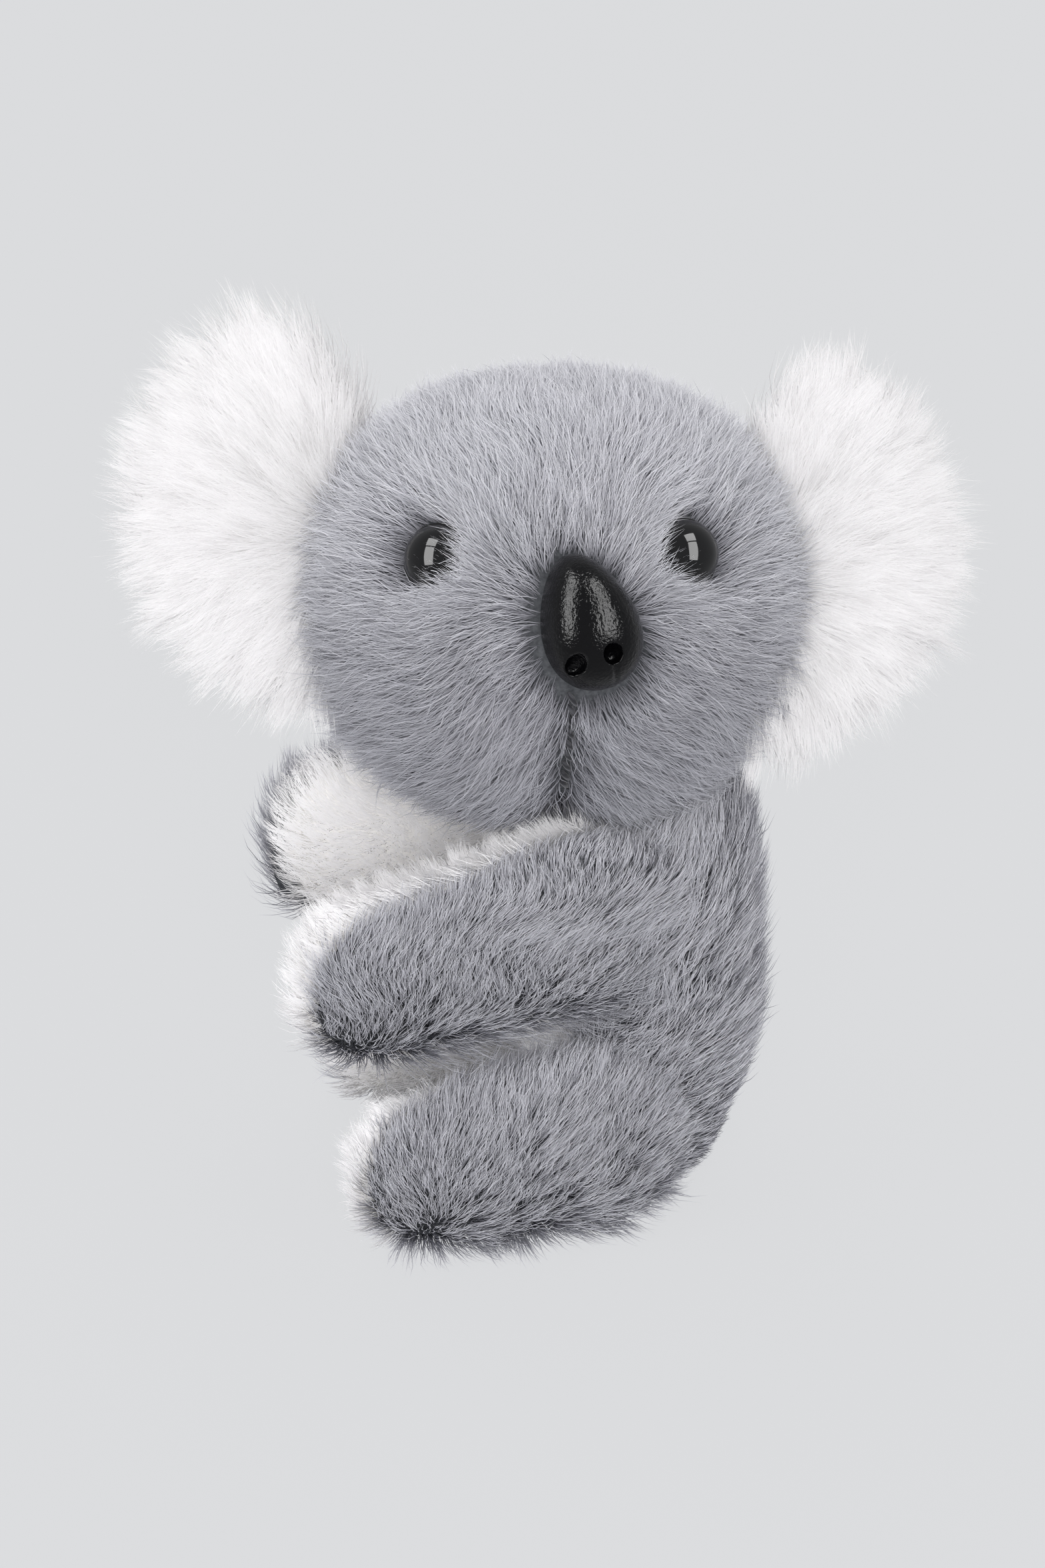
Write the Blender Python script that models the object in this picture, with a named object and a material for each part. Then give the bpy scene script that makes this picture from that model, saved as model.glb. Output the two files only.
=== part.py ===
"""Plush koala that clips on: a stuffed head on a stuffed body whose arms and legs are two sprung jaws.

The toy stands on its seat with the origin under the middle of its body. +Z is up, the belly and the
tips of the arms and legs point to -Y, and the toy's left side is +X. The head is sewn on turned to
the toy's left with the face lifted. Plush pieces are modelled out to the middle of their pile.
"""

import math

import bmesh
import bpy
from mathutils import Euler, Matrix, Vector

MM = 0.001

# Clearances shared by all the pieces
SEAM_GAP = 0.3 * MM
RUNNING_GAP = 0.4 * MM
CUT_OVERRUN = 2.0 * MM
FLAT_CUT = 0.5 * MM

# Body
BODY_WIDTH = 42.0 * MM
BODY_DEPTH = 29.4 * MM
BODY_HEIGHT = 59.5 * MM
PLUSH_THICKNESS = 2.2 * MM
BELLY_WIDTH = 22.0 * MM
BELLY_WAD_SHARE = 0.58
# Height up the body, half width, half depth and lean, the last three as shares of the half sizes
BODY_SHARES = (
    (0.0, 0.40, 0.34, -0.04),
    (0.02, 0.62, 0.56, -0.04),
    (0.06, 0.77, 0.72, -0.03),
    (0.13, 0.88, 0.85, -0.02),
    (0.24, 0.96, 0.95, -0.01),
    (0.40, 1.00, 1.00, 0.00),
    (0.58, 1.00, 1.00, 0.00),
    (0.74, 0.98, 0.99, 0.00),
    (0.86, 0.93, 0.96, 0.00),
    (0.94, 0.85, 0.90, 0.00),
    (0.985, 0.74, 0.81, 0.00),
    (1.0, 0.62, 0.71, 0.00),
)
BODY_SQUARENESS = 2.25
BODY_SIDES = 32

# Arms and legs: lobes that reach forward on each side, each grey outside with a white inner lining
LIMB_SPREAD = 16.8 * MM
LIMB_THICKNESS = 10.6 * MM
LIMB_ROOT_Y = -1.0 * MM
LINING_THICKNESS = 3.4 * MM
ARM_REACH = 49.0 * MM
ARM_HEIGHT = 26.5 * MM
ARM_LEVEL = 43.0 * MM
LEG_REACH = 41.3 * MM
LEG_HEIGHT = 24.0 * MM
LEG_LEVEL = 11.5 * MM
# Share of the way from root to tip, half thickness, half height, rise and inward bend, as shares of
# the reach, the half sizes and, for the last two, the height and the thickness
ARM_SHARES = (
    (0.00, 0.28, 0.40, 0.13, 0.00),
    (0.03, 0.54, 0.72, 0.14, 0.00),
    (0.10, 0.80, 0.97, 0.15, 0.00),
    (0.22, 0.94, 1.10, 0.16, 0.00),
    (0.45, 0.98, 1.05, 0.11, 0.00),
    (0.65, 1.00, 0.99, 0.03, 0.01),
    (0.80, 0.98, 0.98, -0.02, 0.02),
    (0.90, 0.88, 0.90, -0.03, 0.04),
    (0.96, 0.66, 0.70, -0.03, 0.06),
    (0.99, 0.42, 0.45, -0.03, 0.07),
    (1.00, 0.20, 0.22, -0.03, 0.08),
)
LEG_SHARES = (
    (0.00, 0.30, 0.47, 0.08, 0.00),
    (0.035, 0.57, 0.79, 0.08, 0.00),
    (0.11, 0.82, 1.05, 0.08, 0.00),
    (0.23, 0.96, 1.16, 0.07, 0.00),
    (0.45, 1.00, 1.10, 0.05, 0.00),
    (0.65, 1.00, 1.04, 0.01, 0.01),
    (0.80, 0.97, 0.96, -0.02, 0.02),
    (0.90, 0.86, 0.86, -0.03, 0.04),
    (0.96, 0.66, 0.68, -0.03, 0.06),
    (0.99, 0.42, 0.44, -0.03, 0.07),
    (1.00, 0.20, 0.22, -0.03, 0.08),
)
LIMB_SQUARENESS = 2.3
LIMB_SIDES = 20

# The clip inside the body: two levers on one pin, held shut by a torsion spring
PIN_RADIUS = 1.0 * MM
PIN_Y = 1.0 * MM
PIN_BOTTOM = 16.0 * MM
PIN_HEAD_RADIUS = 1.9 * MM
PIN_HEAD_HEIGHT = 0.8 * MM
PIN_CLEARANCE = 0.1 * MM
KNUCKLE_RADIUS = 2.7 * MM
KNUCKLE_LENGTH = 4.0 * MM
SPRING_WIRE = 0.8 * MM
SPRING_RADIUS = 2.0 * MM
SPRING_TURNS = 8
SPRING_TURN_POINTS = 10
SPRING_PITCH = 1.15 * MM
SPRING_LEG_ANGLE = 35.0
SPRING_LEG_SHARE = 0.85
LEVER_THICKNESS = 1.6 * MM
LEVER_BOTTOM = 8.0 * MM
LEVER_TOP = 49.0 * MM
LEVER_WAIST = 7.5 * MM
HANDLE_SPREAD = 8.2 * MM
HANDLE_REACH = 7.2 * MM
HANDLE_BOTTOM = 14.0 * MM
SHOULDER_SPREAD = 12.0 * MM
SHOULDER_REACH = 8.5 * MM
FINGER_HEIGHT = 10.0 * MM
FINGER_START = 17.0 * MM
ARM_FINGER_REACH = 41.0 * MM
LEG_FINGER_REACH = 34.0 * MM
JAW_SWING_ANGLE = 18.0
# Shares of the swing at which the body's form is cut from the roots of the arms and legs, from just
# before shut, so that no flat of the cutter lies in a flat of the limb
SWEEP_SHARES = (-0.04, 0.5, 1.0)
# Angles about the pin, in degrees from the toy's left towards its back, that a shut lever passes between
SLOT_FRONT_ANGLE = -58.0
SLOT_BACK_ANGLE = -32.0

# Neck, with its axis upright, and the head's place over it
NECK_X = -2.5 * MM
NECK_Y = -4.0 * MM
NECK_HOLE_RADIUS = 6.0 * MM
NECK_THREAD_RADIUS = 8.0 * MM
NECK_THREAD_WIRE = 0.9 * MM
HEAD_X = -4.5 * MM
HEAD_Y = -10.5 * MM
HEAD_LEVEL = 83.8 * MM
HEAD_TURN_ANGLE = 82.0
HEAD_LIFT_ANGLE = 33.0
HEAD_ROLL_ANGLE = 1.7

# Head, in its own axes: the face looks to -Y and the head's left is +X
HEAD_WIDTH = 61.5 * MM
HEAD_DEPTH = 53.0 * MM
HEAD_HEIGHT = 56.8 * MM
HEAD_SQUARENESS = 2.15
HEAD_SEGMENTS = 32
HEAD_RINGS = 20
MUZZLE_SWELL = 3.6 * MM
MUZZLE_DROP_SHARE = 0.30
MUZZLE_SPREAD_SHARE = 0.42

# Eyes, each a glossy dome on a stem that a washer locks inside the head
EYE_DIAMETER = 9.0 * MM
EYE_DOME = 3.9 * MM
# Between the eyes' middles, as a share of the head's width
EYE_SPREAD_SHARE = 0.5
EYE_OFFSET = -0.8 * MM
EYE_RISE = 3.6 * MM
EYE_SINK = 0.5 * MM
STEM_DIAMETER = 2.6 * MM
STEM_LENGTH = 7.5 * MM
WASHER_DIAMETER = 9.5 * MM
WASHER_THICKNESS = 1.0 * MM

# Nose, an egg-shaped moulding, blunt end down, with two nostril pits
NOSE_WIDTH = 12.3 * MM
NOSE_HEIGHT = 17.2 * MM
NOSE_DEPTH = 7.0 * MM
NOSE_OFFSET = 1.8 * MM
NOSE_DROP = 4.6 * MM
NOSE_SINK = 1.0 * MM
NOSE_LEAN_ANGLE = 15.0
NOSE_STEM_DIAMETER = 3.4 * MM
NOSE_WASHER_DIAMETER = 10.0 * MM
NOSE_WASHER_DROP = 0.9 * MM
NOSE_CROWN_SHARE = 0.8
NOSTRIL_RADIUS = 1.1 * MM
NOSTRIL_SPREAD = 4.6 * MM
NOSTRIL_DROP = 5.2 * MM
NOSTRIL_DEPTH = 0.9 * MM
# Height above the middle and half width, as shares of the nose's half sizes
NOSE_SHARES = (
    (-1.00, 0.00),
    (-0.96, 0.32),
    (-0.84, 0.62),
    (-0.62, 0.87),
    (-0.35, 0.99),
    (-0.12, 1.00),
    (0.15, 0.93),
    (0.42, 0.78),
    (0.66, 0.60),
    (0.84, 0.42),
    (0.96, 0.20),
    (1.00, 0.00),
)

# The thread that draws in the muzzle from the nose to the chin
MOUTH_THREAD_WIRE = 0.9 * MM
MOUTH_TOP = 13.4 * MM
MOUTH_BOTTOM = 26.0 * MM

# Ears, each a pair of fans, white in front and grey behind
EAR_WIDTH = 32.0 * MM
EAR_HEIGHT = 53.0 * MM
EAR_FRONT = 6.0 * MM
EAR_BACK = 4.0 * MM
# From the head's middle to an ear's, as a share of the head's width
EAR_SPREAD_SHARE = 0.615
# How far an ear's top and its two foot ends bend in towards the head
EAR_TOP_CURL = 3.0 * MM
LEFT_EAR_FOOT_CURL = 8.0 * MM
RIGHT_EAR_FOOT_CURL = 5.5 * MM
LEFT_EAR_RISE = 3.0 * MM
RIGHT_EAR_RISE = 9.5 * MM
EAR_SETBACK = 3.0 * MM
LEFT_EAR_SPLAY_ANGLE = 26.0
RIGHT_EAR_SPLAY_ANGLE = 10.0
EAR_LEAN_ANGLE = 6.0
EAR_SEGMENTS = 24
EAR_RINGS = 12

GREY_PLUSH = ("grey_plush", (0.36, 0.37, 0.39), 0.95, 0.0)
WHITE_PLUSH = ("white_plush", (0.86, 0.85, 0.82), 0.95, 0.0)
FIBRE = ("polyester_fibre", (0.90, 0.90, 0.88), 1.0, 0.0)
STEEL = ("spring_steel", (0.62, 0.63, 0.65), 0.35, 1.0)
LEVER_PLASTIC = ("lever_plastic", (0.80, 0.80, 0.78), 0.5, 0.0)
WASHER_PLASTIC = ("washer_plastic", (0.88, 0.88, 0.86), 0.5, 0.0)
EYE_PLASTIC = ("eye_plastic", (0.012, 0.012, 0.014), 0.06, 0.0)
NOSE_PLASTIC = ("nose_plastic", (0.02, 0.02, 0.022), 0.32, 0.0)
DARK_THREAD = ("dark_thread", (0.05, 0.05, 0.06), 0.8, 0.0)
GREY_THREAD = ("grey_thread", (0.30, 0.31, 0.33), 0.8, 0.0)

SIDES = (("left", 1.0), ("right", -1.0))
SHARP_ANGLE = 40.0
FLOOR_CUT_SIZE = 2.0 * (BODY_WIDTH + ARM_REACH)
FLAT_DISC_SIDES = 24
STEM_SIDES = 12
RING_STEPS = 36
WIRE_SIDES = 8
CAP_STEPS = 10


def clear_scene():
    for thing in list(bpy.data.objects):
        bpy.data.objects.remove(thing, do_unlink=True)


def material(finish):
    name, colour, roughness, metallic = finish
    found = bpy.data.materials.get(name)
    if found:
        return found
    made = bpy.data.materials.new(name)
    made.use_nodes = True
    shader = made.node_tree.nodes["Principled BSDF"]
    shader.inputs["Base Color"].default_value = (*colour, 1.0)
    shader.inputs["Roughness"].default_value = roughness
    shader.inputs["Metallic"].default_value = metallic
    made.diffuse_color = (*colour, 1.0)
    return made


def empty(name, place, turn=None, parent=None):
    made = bpy.data.objects.new(name, None)
    bpy.context.collection.objects.link(made)
    made.parent = parent
    made.location = place - parent.location if parent else place
    if turn:
        made.rotation_euler = turn
    return made


def new_object(name, bm, finish=None, frame=None, local=False):
    """Links bm as an object. Its mesh is in world axes unless local says that it is in its frame's."""
    bmesh.ops.recalc_face_normals(bm, faces=bm.faces)
    mesh = bpy.data.meshes.new(name)
    bm.to_mesh(mesh)
    bm.free()
    made = bpy.data.objects.new(name, mesh)
    bpy.context.collection.objects.link(made)
    if frame:
        made.parent = frame
        if not local:
            made.location = -frame.location
    if finish:
        mesh.materials.append(material(finish))
        mesh.shade_smooth()
        mesh.set_sharp_from_angle(angle=math.radians(SHARP_ANGLE))
    else:
        made.hide_render = True
        made.display_type = "WIRE"
    return made


def combine(made, cutter, operation="DIFFERENCE"):
    step = made.modifiers.new(operation.lower() + "_" + cutter.name, "BOOLEAN")
    step.operation = operation
    step.solver = "EXACT"
    step.object = cutter


def oval(half_x, half_y, squareness, count):
    """Corners of a rounded oval about the origin, from an ellipse at 2 towards a rectangle."""
    corners = []
    for step in range(count):
        angle = 2.0 * math.pi * (step + 0.5) / count
        c, s = math.cos(angle), math.sin(angle)
        x = math.copysign(abs(c) ** (2.0 / squareness), c)
        y = math.copysign(abs(s) ** (2.0 / squareness), s)
        corners.append((half_x * x, half_y * y))
    return corners


def loft(rings):
    """A closed skin over rings of equally many points, with flat ends."""
    bm = bmesh.new()
    loops = []
    for ring in rings:
        verts = [bm.verts.new(point) for point in ring]
        edges = [bm.edges.new((verts[i - 1], verts[i])) for i in range(len(verts))]
        if loops:
            bmesh.ops.bridge_loops(bm, edges=loops[-1] + edges)
        loops.append(edges)
    for edges in (loops[0], loops[-1]):
        bmesh.ops.contextual_create(bm, geom=edges)
    return bm


def box(low, high):
    bm = bmesh.new()
    size = Vector(high) - Vector(low)
    middle = (Vector(high) + Vector(low)) / 2.0
    place = Matrix.Translation(middle) @ Matrix.Diagonal((*size, 1.0))
    bmesh.ops.create_cube(bm, size=1.0, matrix=place)
    return bm


def block(name, low, high, side=1.0, frame=None):
    """A box cutter between two corners, for the toy's left, or turned over to its right."""
    return new_object(name, mirrored(box(low, high), side), None, frame)


def disc(radius, low, high, place=Vector(), turn=Matrix(), sides=FLAT_DISC_SIDES):
    """A round bar along its own Z from low to high, then turned and put in place."""
    bm = bmesh.new()
    middle = Matrix.Translation((0.0, 0.0, (low + high) / 2.0))
    bmesh.ops.create_cone(
        bm,
        cap_ends=True,
        segments=sides,
        radius1=radius,
        radius2=radius,
        depth=high - low,
        matrix=Matrix.Translation(place) @ turn @ middle,
    )
    return bm


def ring_tube(place, radius, wire, rounds=RING_STEPS, sides=WIRE_SIDES):
    """A closed ring of round section lying flat about place."""
    bm = bmesh.new()
    verts = []
    for step in range(sides):
        angle = 2.0 * math.pi * step / sides
        across = Vector((radius + wire * math.cos(angle) / 2.0, 0.0, wire * math.sin(angle) / 2.0))
        verts.append(bm.verts.new(place + across))
    edges = [bm.edges.new((verts[i - 1], verts[i])) for i in range(sides)]
    upright = (0.0, 0.0, 1.0)
    turn = 2.0 * math.pi
    bmesh.ops.spin(bm, geom=verts + edges, cent=place, axis=upright, angle=turn, steps=rounds, use_merge=True)
    return bm


def tube(name, points, wire, finish, frame=None, resolution=1, local=False):
    """A round wire along points, with filled ends."""
    curve = bpy.data.curves.new(name, "CURVE")
    curve.dimensions = "3D"
    curve.bevel_depth = wire / 2.0
    curve.bevel_resolution = resolution
    curve.use_fill_caps = True
    line = curve.splines.new("POLY")
    line.points.add(len(points) - 1)
    for spot, point in zip(line.points, points):
        spot.co = (*point, 1.0)
    line.use_smooth = True
    made = bpy.data.objects.new(name, curve)
    bpy.context.collection.objects.link(made)
    if frame:
        made.parent = frame
        if not local:
            made.location = -frame.location
    if finish:
        curve.materials.append(material(finish))
    else:
        made.hide_render = True
        made.display_type = "WIRE"
    return made


def bar(points, wire, sides=WIRE_SIDES):
    """A round bar along points that turn gently, as one skin."""
    rings = []
    for here, point in enumerate(points):
        way = points[min(here + 1, len(points) - 1)] - points[max(here - 1, 0)]
        turn = way.to_track_quat("Z", "Y")
        angles = [2.0 * math.pi * step / sides for step in range(sides)]
        rings.append([point + turn @ Vector((math.cos(a), math.sin(a), 0.0)) * wire / 2.0 for a in angles])
    return loft(rings)


def body_form(inset):
    """The body's rounded barrel, drawn in by inset all round."""
    rings = []
    bottom = -FLAT_CUT + inset
    height = BODY_HEIGHT - inset - bottom
    for rise, wide, deep, lean in BODY_SHARES:
        half_x = BODY_WIDTH / 2.0 * wide - inset
        half_y = BODY_DEPTH / 2.0 * deep - inset
        z = bottom + height * rise
        y_middle = BODY_DEPTH / 2.0 * lean
        corners = oval(half_x, half_y, BODY_SQUARENESS, BODY_SIDES)
        rings.append([(x, y + y_middle, z) for x, y in corners])
    return loft(rings)


def limb_form(side, reach, height, level, shares):
    """One swelling lobe from beside the body to its rounded tip."""
    rings = []
    for way, thick, tall, rise, bend in shares:
        x_middle = side * (LIMB_SPREAD - LIMB_THICKNESS * bend)
        y = LIMB_ROOT_Y - (reach + LIMB_ROOT_Y) * way
        z_middle = level + height * rise
        corners = oval(LIMB_THICKNESS / 2.0 * thick, height / 2.0 * tall, LIMB_SQUARENESS, LIMB_SIDES)
        rings.append([(x_middle + x, y, z_middle + z) for x, z in corners])
    return loft(rings)


def head_point(direction, inset):
    """The head's surface along a unit direction in the head's own axes."""
    half = Vector((HEAD_WIDTH / 2.0 - inset, HEAD_DEPTH / 2.0 - inset, HEAD_HEIGHT / 2.0 - inset))
    size = sum(abs(part) ** HEAD_SQUARENESS for part in direction) ** (1.0 / HEAD_SQUARENESS)
    point = Vector(part * length / size for part, length in zip(direction, half))
    muzzle = Vector((0.0, -1.0, -MUZZLE_DROP_SHARE)).normalized()
    off = muzzle.angle(direction) / MUZZLE_SPREAD_SHARE
    return point + muzzle * MUZZLE_SWELL * math.exp(-off * off)


def head_form(inset):
    bm = bmesh.new()
    bmesh.ops.create_uvsphere(bm, u_segments=HEAD_SEGMENTS, v_segments=HEAD_RINGS, radius=1.0)
    for vert in bm.verts:
        vert.co = head_point(vert.co.normalized(), inset)
    return bm


def on_head(x, z, inset=0.0):
    """The place on the face at this x and z, and the way the face looks there."""

    def place(across, up):
        deep = Vector((across / HEAD_WIDTH, -0.5, up / HEAD_HEIGHT))
        for _ in range(8):
            found = head_point(deep.normalized(), inset)
            deep.x *= across / found.x if abs(across) > SEAM_GAP else 1.0
            deep.z *= up / found.z if abs(up) > SEAM_GAP else 1.0
        return found

    step = PLUSH_THICKNESS
    here = place(x, z)
    across = place(x + step, z) - place(x - step, z)
    up = place(x, z + step) - place(x, z - step)
    return here, across.cross(up).normalized()


def facing(normal):
    """Turns a piece's own +Z to normal, with its +Y as near the head's up as it goes."""
    across = Vector((0.0, 0.0, 1.0)).cross(normal).normalized()
    up = normal.cross(across)
    return Matrix((across, up, normal)).transposed().to_4x4()


def egg_cap(height_shares, width, height, depth, steps=CAP_STEPS):
    """A moulded cap on its own XY plane, domed to +Z, whose outline runs up Y by height_shares."""
    bm = bmesh.new()
    rings = []
    for rise, wide in height_shares[1:-1]:
        y = height / 2.0 * rise
        half = width / 2.0 * wide
        crown = depth * math.sqrt(1.0 - rise * rise) ** NOSE_CROWN_SHARE
        ring = []
        for step in range(steps + 1):
            angle = math.pi * step / steps
            ring.append((half * math.cos(angle), y, crown * math.sin(angle)))
        rings.append(ring)
    loops = []
    for ring in rings:
        verts = [bm.verts.new(point) for point in ring]
        edges = [bm.edges.new((verts[i - 1], verts[i])) for i in range(len(verts))]
        if loops:
            bmesh.ops.bridge_loops(bm, edges=loops[-1] + edges)
        loops.append(edges)
    for edges, share in ((loops[0], height_shares[0]), (loops[-1], height_shares[-1])):
        tip = bm.verts.new((0.0, height / 2.0 * share[0], 0.0))
        for edge in edges:
            bm.faces.new((*edge.verts, tip))
    return bm


def lens(width, height, front, back, top_curl, foot_curl):
    """A fan-shaped pad in its own XZ plane, front to -Y by one depth and back to +Y by another.

    Its upper and lower ends bend to -X by their curls.
    """
    bm = bmesh.new()
    bmesh.ops.create_uvsphere(bm, u_segments=EAR_SEGMENTS, v_segments=EAR_RINGS, radius=1.0)
    for vert in bm.verts:
        x, y, z = vert.co
        bend = z * z * (top_curl if z > 0.0 else foot_curl)
        vert.co = (x * width / 2.0 - bend, y * (front if y < 0.0 else back), z * height / 2.0)
    return bm


def moved(bm, matrix):
    bmesh.ops.transform(bm, matrix=matrix, verts=bm.verts)
    return bm


def swing_sector(inner, outer, low, high):
    """The part of a ring about the pin that a left lever sweeps, from z low to high."""
    steps = 6
    outline = []
    sweep = SLOT_BACK_ANGLE + JAW_SWING_ANGLE - SLOT_FRONT_ANGLE
    for radius, turns in ((outer, range(steps + 1)), (inner, range(steps, -1, -1))):
        for step in turns:
            angle = math.radians(SLOT_FRONT_ANGLE + sweep * step / steps)
            outline.append((radius * math.cos(angle), PIN_Y + radius * math.sin(angle)))
    return loft([[(x, y, z) for x, y in outline] for z in (low, high)])


def mirrored(bm, side):
    return moved(bm, Matrix.Diagonal((side, 1.0, 1.0, 1.0)))


# The pin's stack of knuckles, from the bottom: left, right, spring, right, left
STACK_LOW = PIN_BOTTOM + PIN_HEAD_HEIGHT + RUNNING_GAP
LEFT_LOW_KNUCKLE = STACK_LOW
RIGHT_LOW_KNUCKLE = LEFT_LOW_KNUCKLE + KNUCKLE_LENGTH + RUNNING_GAP
SPRING_BOTTOM = RIGHT_LOW_KNUCKLE + KNUCKLE_LENGTH + RUNNING_GAP + SPRING_WIRE
SPRING_HEIGHT = SPRING_TURNS * SPRING_PITCH
RIGHT_HIGH_KNUCKLE = SPRING_BOTTOM + SPRING_HEIGHT + SPRING_WIRE + RUNNING_GAP
LEFT_HIGH_KNUCKLE = RIGHT_HIGH_KNUCKLE + KNUCKLE_LENGTH + RUNNING_GAP
STACK_TOP = LEFT_HIGH_KNUCKLE + KNUCKLE_LENGTH
PIN_TOP = STACK_TOP + RUNNING_GAP + PIN_HEAD_HEIGHT
KNUCKLES = {
    "left": (LEFT_LOW_KNUCKLE, LEFT_HIGH_KNUCKLE),
    "right": (RIGHT_LOW_KNUCKLE, RIGHT_HIGH_KNUCKLE),
}
PIN_PLACE = Vector((0.0, PIN_Y, 0.0))
SLOT_RADIUS = BODY_WIDTH / 2.0 + PIN_Y + CUT_OVERRUN
FINGER_SPREAD = LIMB_SPREAD - LIMB_THICKNESS / 2.0 + LINING_THICKNESS + SEAM_GAP + LEVER_THICKNESS / 2.0
NECK_PLACE = Vector((NECK_X, NECK_Y, BODY_HEIGHT))
HEAD_PLACE = Vector((HEAD_X, HEAD_Y, HEAD_LEVEL))


def make_body():
    far = FLOOR_CUT_SIZE
    floor = block("cut_floor", (-far, -far, -CUT_OVERRUN), (far, far, 0.0))
    hollow = new_object("cut_body_hollow", body_form(PLUSH_THICKNESS))
    half_belly = BELLY_WIDTH / 2.0
    front = -BODY_DEPTH / 2.0 - CUT_OVERRUN
    top = BODY_HEIGHT - PLUSH_THICKNESS - SEAM_GAP
    bottom = PLUSH_THICKNESS
    window = block("cut_belly_window", (-half_belly, front, bottom), (half_belly, 0.0, top))
    half_patch = half_belly - SEAM_GAP
    low = (-half_patch, front, bottom + SEAM_GAP)
    patch = block("cut_belly_patch", low, (half_patch, -BODY_DEPTH / 4.0, top - SEAM_GAP))
    ring = ring_tube(NECK_PLACE, NECK_THREAD_RADIUS, NECK_THREAD_WIRE + 2.0 * SEAM_GAP)
    groove = new_object("cut_neck_groove", ring)

    skin = new_object("body_skin", body_form(0.0), GREY_PLUSH)
    for cutter in (floor, hollow, window, groove):
        combine(skin, cutter)
    for name, side in SIDES:
        for limb, middle in (("arm", ARM_LEVEL), ("leg", LEG_LEVEL)):
            low = middle - FINGER_HEIGHT / 2.0 - RUNNING_GAP
            high = middle + FINGER_HEIGHT / 2.0 + RUNNING_GAP
            sector = swing_sector(SHOULDER_SPREAD, SLOT_RADIUS, low, high)
            combine(skin, new_object(f"cut_{name}_{limb}_slot", mirrored(sector, side)))

    belly = new_object("belly_panel", body_form(0.0), WHITE_PLUSH)
    combine(belly, hollow)
    combine(belly, patch, "INTERSECT")

    stuffing = new_object("body_stuffing", body_form(PLUSH_THICKNESS + SEAM_GAP), FIBRE)
    half_wad = SHOULDER_SPREAD - LEVER_THICKNESS
    wad_back = -BODY_DEPTH / 2.0 * BELLY_WAD_SHARE
    plan = [
        (BODY_WIDTH, BODY_DEPTH),
        (-BODY_WIDTH, BODY_DEPTH),
        (-BODY_WIDTH, -BODY_DEPTH),
        (-half_wad, -BODY_DEPTH),
        (-half_wad, wad_back),
        (half_wad, wad_back),
        (half_wad, -BODY_DEPTH),
        (BODY_WIDTH, -BODY_DEPTH),
    ]
    levels = (LEVER_BOTTOM - 2.0 * RUNNING_GAP, LEVER_TOP + 2.0 * RUNNING_GAP)
    room = loft([[(x, y, z) for x, y in plan] for z in levels])
    combine(stuffing, new_object("cut_clip_room", room))

    new_object("neck_thread", ring_tube(NECK_PLACE, NECK_THREAD_RADIUS, NECK_THREAD_WIRE), GREY_THREAD)
    return floor, groove


def make_pin():
    bm = disc(PIN_RADIUS, PIN_BOTTOM, PIN_TOP, PIN_PLACE)
    pin = new_object("hinge_pin", bm, STEEL)
    for name, low in (("low", PIN_BOTTOM), ("high", PIN_TOP - PIN_HEAD_HEIGHT)):
        head = disc(PIN_HEAD_RADIUS, low, low + PIN_HEAD_HEIGHT, PIN_PLACE)
        combine(pin, new_object(f"add_pin_{name}_head", head), "UNION")


def make_spring(frames):
    points = []
    for step in range(SPRING_TURNS * SPRING_TURN_POINTS + 1):
        angle = 2.0 * math.pi * step / SPRING_TURN_POINTS
        rise = SPRING_PITCH * step / SPRING_TURN_POINTS
        spot = Vector((math.cos(angle), math.sin(angle), 0.0)) * SPRING_RADIUS
        points.append(PIN_PLACE + spot + Vector((0.0, 0.0, SPRING_BOTTOM + rise)))
    tube("spring_coil", points, SPRING_WIRE, STEEL)
    start = SPRING_RADIUS + SPRING_WIRE + SEAM_GAP
    seat = SPRING_WIRE / 2.0 + LEVER_THICKNESS / 2.0 + SEAM_GAP
    for name, side in SIDES:
        z = SPRING_BOTTOM + SPRING_HEIGHT if side > 0.0 else SPRING_BOTTOM
        leave = math.radians(SPRING_LEG_ANGLE)
        first = PIN_PLACE + Vector((side * start * math.cos(leave), start * math.sin(leave), z))
        last = Vector((side * (HANDLE_SPREAD - seat), PIN_Y + HANDLE_REACH * SPRING_LEG_SHARE, z))
        tube(f"{name}_spring_leg", [first, last], SPRING_WIRE, STEEL, frames[name])


def lever_plan(side):
    """The lever's bent strip seen from above, as its centre line from the handle to the finger tip."""
    return [
        Vector((side * HANDLE_SPREAD, PIN_Y + HANDLE_REACH)),
        Vector((side * LEVER_WAIST, PIN_Y)),
        Vector((side * SHOULDER_SPREAD, -SHOULDER_REACH)),
        Vector((side * FINGER_SPREAD, -FINGER_START)),
        Vector((side * FINGER_SPREAD, -ARM_FINGER_REACH)),
    ]


def strip(line, half, low, high):
    """An upright plate of this half thickness along a plan line."""
    edges = ([], [])
    for here in range(len(line)):
        before = (line[here] - line[here - 1]).normalized() if here else None
        after = (line[here + 1] - line[here]).normalized() if here + 1 < len(line) else None
        way = ((before or after) + (after or before)).normalized()
        across = Vector((-way.y, way.x))
        stretch = 1.0 / max(0.5, way.dot(after or before))
        edges[0].append(line[here] + across * half * stretch)
        edges[1].append(line[here] - across * half * stretch)
    outline = edges[0] + edges[1][::-1]
    return loft([[(x, y, z) for x, y in outline] for z in (low, high)])


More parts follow.
